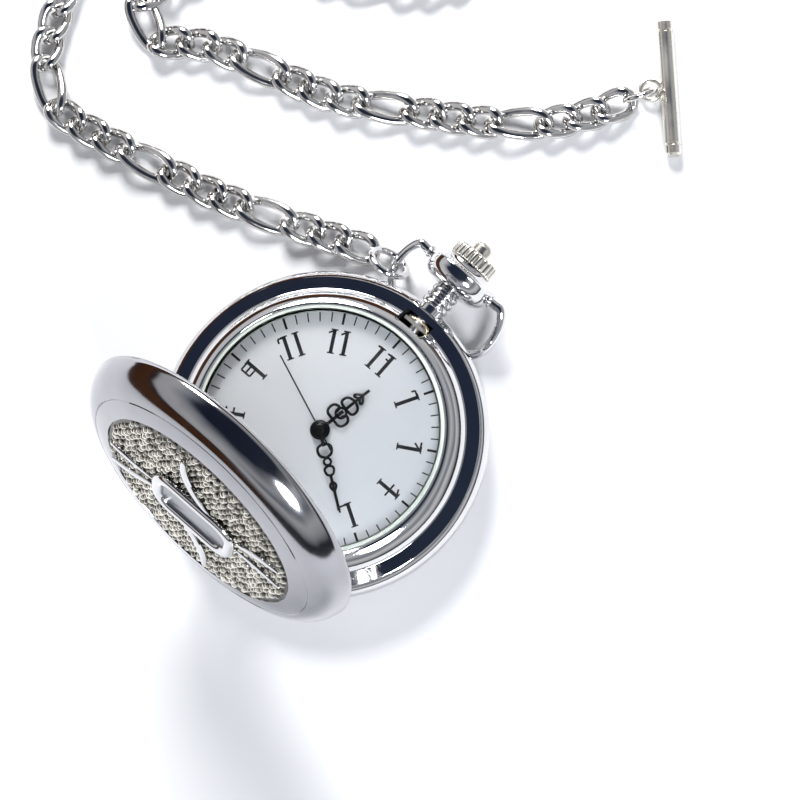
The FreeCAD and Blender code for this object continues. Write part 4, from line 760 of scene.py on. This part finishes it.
def make_slot_shade_and_spring():
    """Painted shade: dark walls and floor put inside the catch's slot, and the bent wire spring that shows in
    it.
    """
    half, inner, outer, floor, top = 2.2, 18.15, 20.3, 4.26, 7.0
    walls = {"floor": ((-half, half), (inner, outer), (floor - 0.04, floor)),
             "left": ((-half, -half + 0.04), (inner, outer), (floor, top)),
             "right": ((half - 0.04, half), (inner, outer), (floor, top)),
             "inner": ((-half, half), (inner, inner + 0.04), (floor, top))}
    # Each sheet is painted shade for the slot's hollow.
    for name, limits in walls.items():
        surface(f"slot_{name}", box_rings(*limits), "slot_painted_shade", "case")
    line = curve([(-1.2, 19.9, 6.3), (0.2, 20.1, 6.75), (1.6, 19.9, 6.7), (2.0, 19.0, 6.4), (1.5, 18.4, 6.2)])
    surface("slot_wire", wire(line, 0.2, 0.2, UP, False, 12), "wire_brass", "case")


def bow_frame(points):
    """Points in the bow's own plane (x, distance down it, height off it), set at the pivots and let down."""
    x, down, off = points[..., 0], points[..., 1], points[..., 2]
    return np.stack([x, BELL_HEIGHT - down * math.cos(BOW_DROP) - off * math.sin(BOW_DROP),
                     STEM_HEIGHT - down * math.sin(BOW_DROP) + off * math.cos(BOW_DROP)], -1)


def make_bow():
    """The bow's wire, swept along a smooth line in its own plane, with a collar at each pivot."""
    right = [(4.7, 0), (6.0, 0), (0.88 * BOW_HALF, -0.02 * BOW_REACH), (1.03 * BOW_HALF, 0.34 * BOW_REACH),
             (0.97 * BOW_HALF, 0.84 * BOW_REACH), (0.56 * BOW_HALF, 1.04 * BOW_REACH)]
    left = [(-x, y) for x, y in reversed(right)]
    line = curve([(x, y, 0) for x, y in right + left])
    loop = surface("bow_wire", bow_frame(wire(line, BOW_WIRE, BOW_WIRE, UP, False, 24)), "chrome",
                   "bow", sharp=60)
    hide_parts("bow")
    for side, sign in (("left", -1), ("right", 1)):
        collar = outline([(0.7, 0.15), ("round", 0.3, 1), (0.95, 0.4), ("round", 0.3, 1), (0.7, 0.65)])
        rings = turned(collar, 36)
        placed = np.stack([sign * (BELL_RADIUS + rings[..., 2]), rings[..., 0], rings[..., 1]], -1)
        surface(f"bow_collar_{side}", bow_frame(placed), "chrome", "bow")


def make_jump_ring():
    """The ring that joins the chain to the left side of the bow, square to the bow's plane."""
    turn = np.linspace(0, 2 * math.pi, RING_STEPS, endpoint=False)
    centre = (-0.965 * BOW_HALF - (RING_RADIUS - RING_WIRE - BOW_WIRE - 0.25), 0.6 * BOW_REACH, 0)
    line = np.stack([centre[0] + RING_RADIUS * np.cos(turn), np.full(RING_STEPS, centre[1]),
                     RING_RADIUS * np.sin(turn)], -1)
    ring = surface("jump_ring_wire", bow_frame(wire(line, RING_WIRE, RING_WIRE, (0, 1.0, 0), True, 18)),
                   "chrome", "bow", loop=True, sharp=60)
    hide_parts("jump_ring")


# ---------------------------------------------------------------- dial and hands


def print_ribbon(name, line, width):
    """A stroke of ink that stands a few hundredths above the dial."""
    line = np.column_stack([line, np.full(len(line), DIAL_TOP + INK_RISE)])
    surface(name, wire(line, width / 2, INK_RISE, UP, False, 8), "ink", "case")


def radial(angle, radius, across=0.0):
    """A point on the dial: clockwise angle from 12 o'clock in degrees, radius and sideways shift."""
    turn = math.radians(angle)
    out = np.array([math.sin(turn), math.cos(turn)])
    return out * radius + across * np.array([out[1], -out[0]])


def make_track():
    """The sixty minute marks, each a small block, every fifth one longer and wider."""
    points, faces = [], []
    for minute in range(60):
        strong = minute % 5 == 0
        inner, outer, half = (14.7, 16.3, 0.16) if strong else (14.95, 16.25, 0.085)
        for radius in (inner, outer):
            for across in (-half, half):
                for height in (DIAL_TOP - 0.02, DIAL_TOP + 0.02):
                    points.append((*radial(6 * minute, radius, across), height))
        base = 8 * minute
        faces += [[base + i for i in face] for face in
                  ((0, 1, 3, 2), (4, 6, 7, 5), (0, 4, 5, 1), (2, 3, 7, 6), (1, 5, 7, 3), (0, 2, 6, 4))]
    solid("minute_track", points, faces, "ink", "case")


# Each hour's sign: strokes as (across, out, across, out) from the sign's middle, stem and flags.
SIGNS = {
    12: [(-0.9, -1.5, -0.9, 1.5), (-0.9, 1.4, -1.6, 1.4), (0.8, -1.5, 0.8, 1.5), (0.8, 1.4, 0.0, 1.4),
         (0.8, 0.7, 0.2, 0.7)],
    1: [(0.1, -1.5, 0.1, 1.5), (0.1, 1.4, -0.8, 1.4), (-0.8, 1.4, -0.8, 0.9)],
    2: [(0.2, -1.5, 0.2, 1.5), (0.2, 1.4, -0.8, 1.4), (0.2, 1.3, -0.6, 0.6)],
    3: [(0.0, -1.5, 0.0, 1.5), (-0.9, 0.2, 0.9, 0.2), (0.0, 1.4, -0.8, 1.0)],
    4: [(-0.3, -1.5, -0.3, 1.5), (-0.3, -1.4, 0.9, -1.4), (0.9, -1.4, 0.9, -0.7)],
    5: [(0.0, -1.5, 0.0, 1.5), (0.0, -1.4, 0.9, -1.4), (0.0, 1.4, -0.5, 1.0)],
    6: [(0.0, -1.5, 0.0, 1.5), (0.0, 1.4, 0.8, 1.4), (0.0, 0.0, 0.8, 0.0), (0.8, 0.0, 0.8, 1.4)],
    7: [(0.2, -1.5, 0.2, 1.5), (0.2, 1.4, -0.9, 1.4), (0.2, 0.2, -0.4, 0.2)],
    8: [(0.1, -1.5, 0.1, 1.5), (-0.9, 0.9, 0.9, 0.9), (-0.9, -0.1, 0.9, -0.1), (-0.9, -0.1, -0.9, 0.9)],
    9: [(0.5, -1.5, 0.5, 1.5), (0.5, 1.4, -0.7, 1.4), (-0.7, 1.4, -0.7, 0.0), (-0.7, 0.0, 0.5, 0.0),
        (-0.7, 0.7, 0.5, 0.7)],
    10: [(-0.7, -1.5, -0.7, 1.5), (-0.7, 1.4, -1.5, 1.4), (-1.5, 1.4, -1.5, 0.8), (0.8, -1.5, 0.8, 1.5)],
    11: [(-0.8, -1.5, -0.8, 1.5), (-0.8, 1.4, -1.5, 1.0), (0.8, -1.5, 0.8, 1.5), (0.8, 1.4, 0.1, 1.0)],
}
SIGN_RADIUS, SIGN_SCALE = 12.25, 1.08


def make_signs():
    """The hours: each sign is a few straight strokes with a thick stem and thin flags."""
    for hour, strokes in SIGNS.items():
        for index, (x0, y0, x1, y1) in enumerate(strokes):
            stem = x0 == x1 and abs(y1 - y0) > 2
            start = radial(30 * hour, SIGN_RADIUS + SIGN_SCALE * y0, SIGN_SCALE * x0)
            end = radial(30 * hour, SIGN_RADIUS + SIGN_SCALE * y1, SIGN_SCALE * x1)
            line = np.array([start + (end - start) * t for t in (0, 0.5, 1)])
            print_ribbon(f"hour_{hour}_{index}", line, 0.5 if stem else 0.26)
            if stem:
                for end_name, out in (("foot", y0), ("head", y1)):
                    serif = [radial(30 * hour, SIGN_RADIUS + SIGN_SCALE * out, SIGN_SCALE * (x0 + shift))
                             for shift in (-0.45, 0, 0.45)]
                    print_ribbon(f"hour_{hour}_{index}_{end_name}", serif, 0.2)


def hand_piece(name, points, width, hand, closed=False):
    """A flat scroll of a hand. Points are (across, out) before the hand is turned to its time."""
    height = HAND_HEIGHTS[hand]
    smooth = curve(points, closed, 3)
    turned_points = np.array([radial(HAND_TIMES[hand], out, across) for across, out in smooth])
    line = np.column_stack([turned_points, np.full(len(turned_points), height)])
    body = {"hour": "hour", "minute": "centre", "second": "seconds"}[hand]
    return surface(name, wire(line, width / 2, HAND_HALF_THICK, UP, closed, 8), "hands", body, loop=closed)


def circle(x, y, radius, count=10):
    """Corners of a circle for a closed smooth line."""
    return [(x + radius * math.sin(2 * math.pi * k / count), y + radius * math.cos(2 * math.pi * k / count))
            for k in range(count)]


def make_hands():
    """The filigree hands: each a stem, scrolls mirrored about it, a tip and a stepped boss."""
    first = hand_piece("hour_stem", [(0, 0.6), (0, 2.4), (0, 4.0)], 0.5, "hour")
    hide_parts("hour_hand")
    for side in (-1, 1):
        hand_piece(f"hour_scroll_{side}", [(0, 2.2), (side * 1.5, 2.2), (side * 1.7, 3.6), (side * 0.7, 4.1),
                                           (side * 0.5, 3.2)], 0.38, "hour")
        hand_piece(f"hour_leaf_{side}", [(0, 4.4), (side * 1.3, 4.5), (side * 1.2, 5.7), (0, 6.1)], 0.38,
                   "hour")
        hand_piece(f"hour_barb_{side}", [(0, 7.4), (side * 0.9, 6.6), (side * 0.6, 6.3), (0, 6.8)], 0.36,
                   "hour")
    hand_piece("hour_ring", circle(0, 3.6, 0.75), 0.34, "hour", closed=True)
    hand_piece("hour_tip", [(0, 4.3), (0, 6.6), (0, 7.6), (0, 8.5)], 0.42, "hour")
    first = hand_piece("minute_stem", [(0, 0.6), (0, 1.6), (0, 2.4)], 0.5, "minute")
    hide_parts("minute_hand")
    for side in (-1, 1):
        hand_piece(f"minute_scroll_{side}", [(0, 2.0), (side * 1.0, 2.4), (side * 0.9, 3.6), (0, 4.0)], 0.38,
                   "minute")
        hand_piece(f"minute_bow_{side}", [(0, 5.1), (side * 0.7, 5.4), (side * 0.5, 6.3), (0, 6.5)], 0.34,
                   "minute")
        hand_piece(f"minute_barb_{side}", [(0, 7.3), (side * 0.45, 7.8), (side * 0.35, 8.2), (0, 8.7)], 0.34,
                   "minute")
    hand_piece("minute_ring", circle(0, 4.55, 0.5), 0.32, "minute", closed=True)
    hand_piece("minute_spear", [(0, 6.3), (0, 8.0), (0, 9.0), (0, 11.35)], 0.4, "minute")
    needle = hand_piece("second_needle", [(0, -3.4), (0, 0), (0, 6), (0, 11.5)], 0.2, "second")
    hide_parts("second_hand")
    for hand, body, radius in (("hour", "hour", 1.35), ("minute", "centre", 1.1), ("second", "seconds", 0.7)):
        height = HAND_HEIGHTS[hand]
        profile = outline([(radius, height - 0.07), (radius, height + 0.04), (0.84 * radius, height + 0.08),
                           (0.78 * radius, height + 0.03), (0.5 * radius, height + 0.03),
                           (0.44 * radius, height + 0.08)])
        surface(f"{hand}_boss", turned(profile, 48), "hands", body, sharp=15)


# ---------------------------------------------------------------- floor


def make_floor():
    """A pale matt table top under the watch and its chain."""
    finish = Finish("table", 0.0, scale=0.2, depth=0.05)
    finish.blend(finish.wear.outputs["Smudge"], (0.74, 0.74, 0.75), (0.78, 0.78, 0.79))
    finish.spread(finish.wear.outputs["Smudge"], 0.6, 0.75)
    half = 260 * MM
    mesh = bpy.data.meshes.new("table")
    mesh.from_pydata([(-half, -half, -0.00002), (half, -half, -0.00002), (half, half, -0.00002),
                      (-half, half, -0.00002)], [], [(0, 1, 2, 3)])
    mesh.materials.append(finish.material)
    table = bpy.data.objects.new("table", mesh)
    bpy.context.collection.objects.link(table)


make_camera()
make_world()
area_light("key", (-400, 350, 370), (0, 0, 0), 300, 7.0)
area_light("fill", (380, -160, 420), (0, 0, 0), 200, 3.0, (0.93, 0.96, 1.0))
make_floor()
dress_cad()
make_chain()
make_lid()
make_medallion()
make_cartouche()
make_bezel()
make_pendant()
make_crown()
make_bow()
make_jump_ring()
make_slot_shade_and_spring()
make_track()
make_signs()
make_hands()
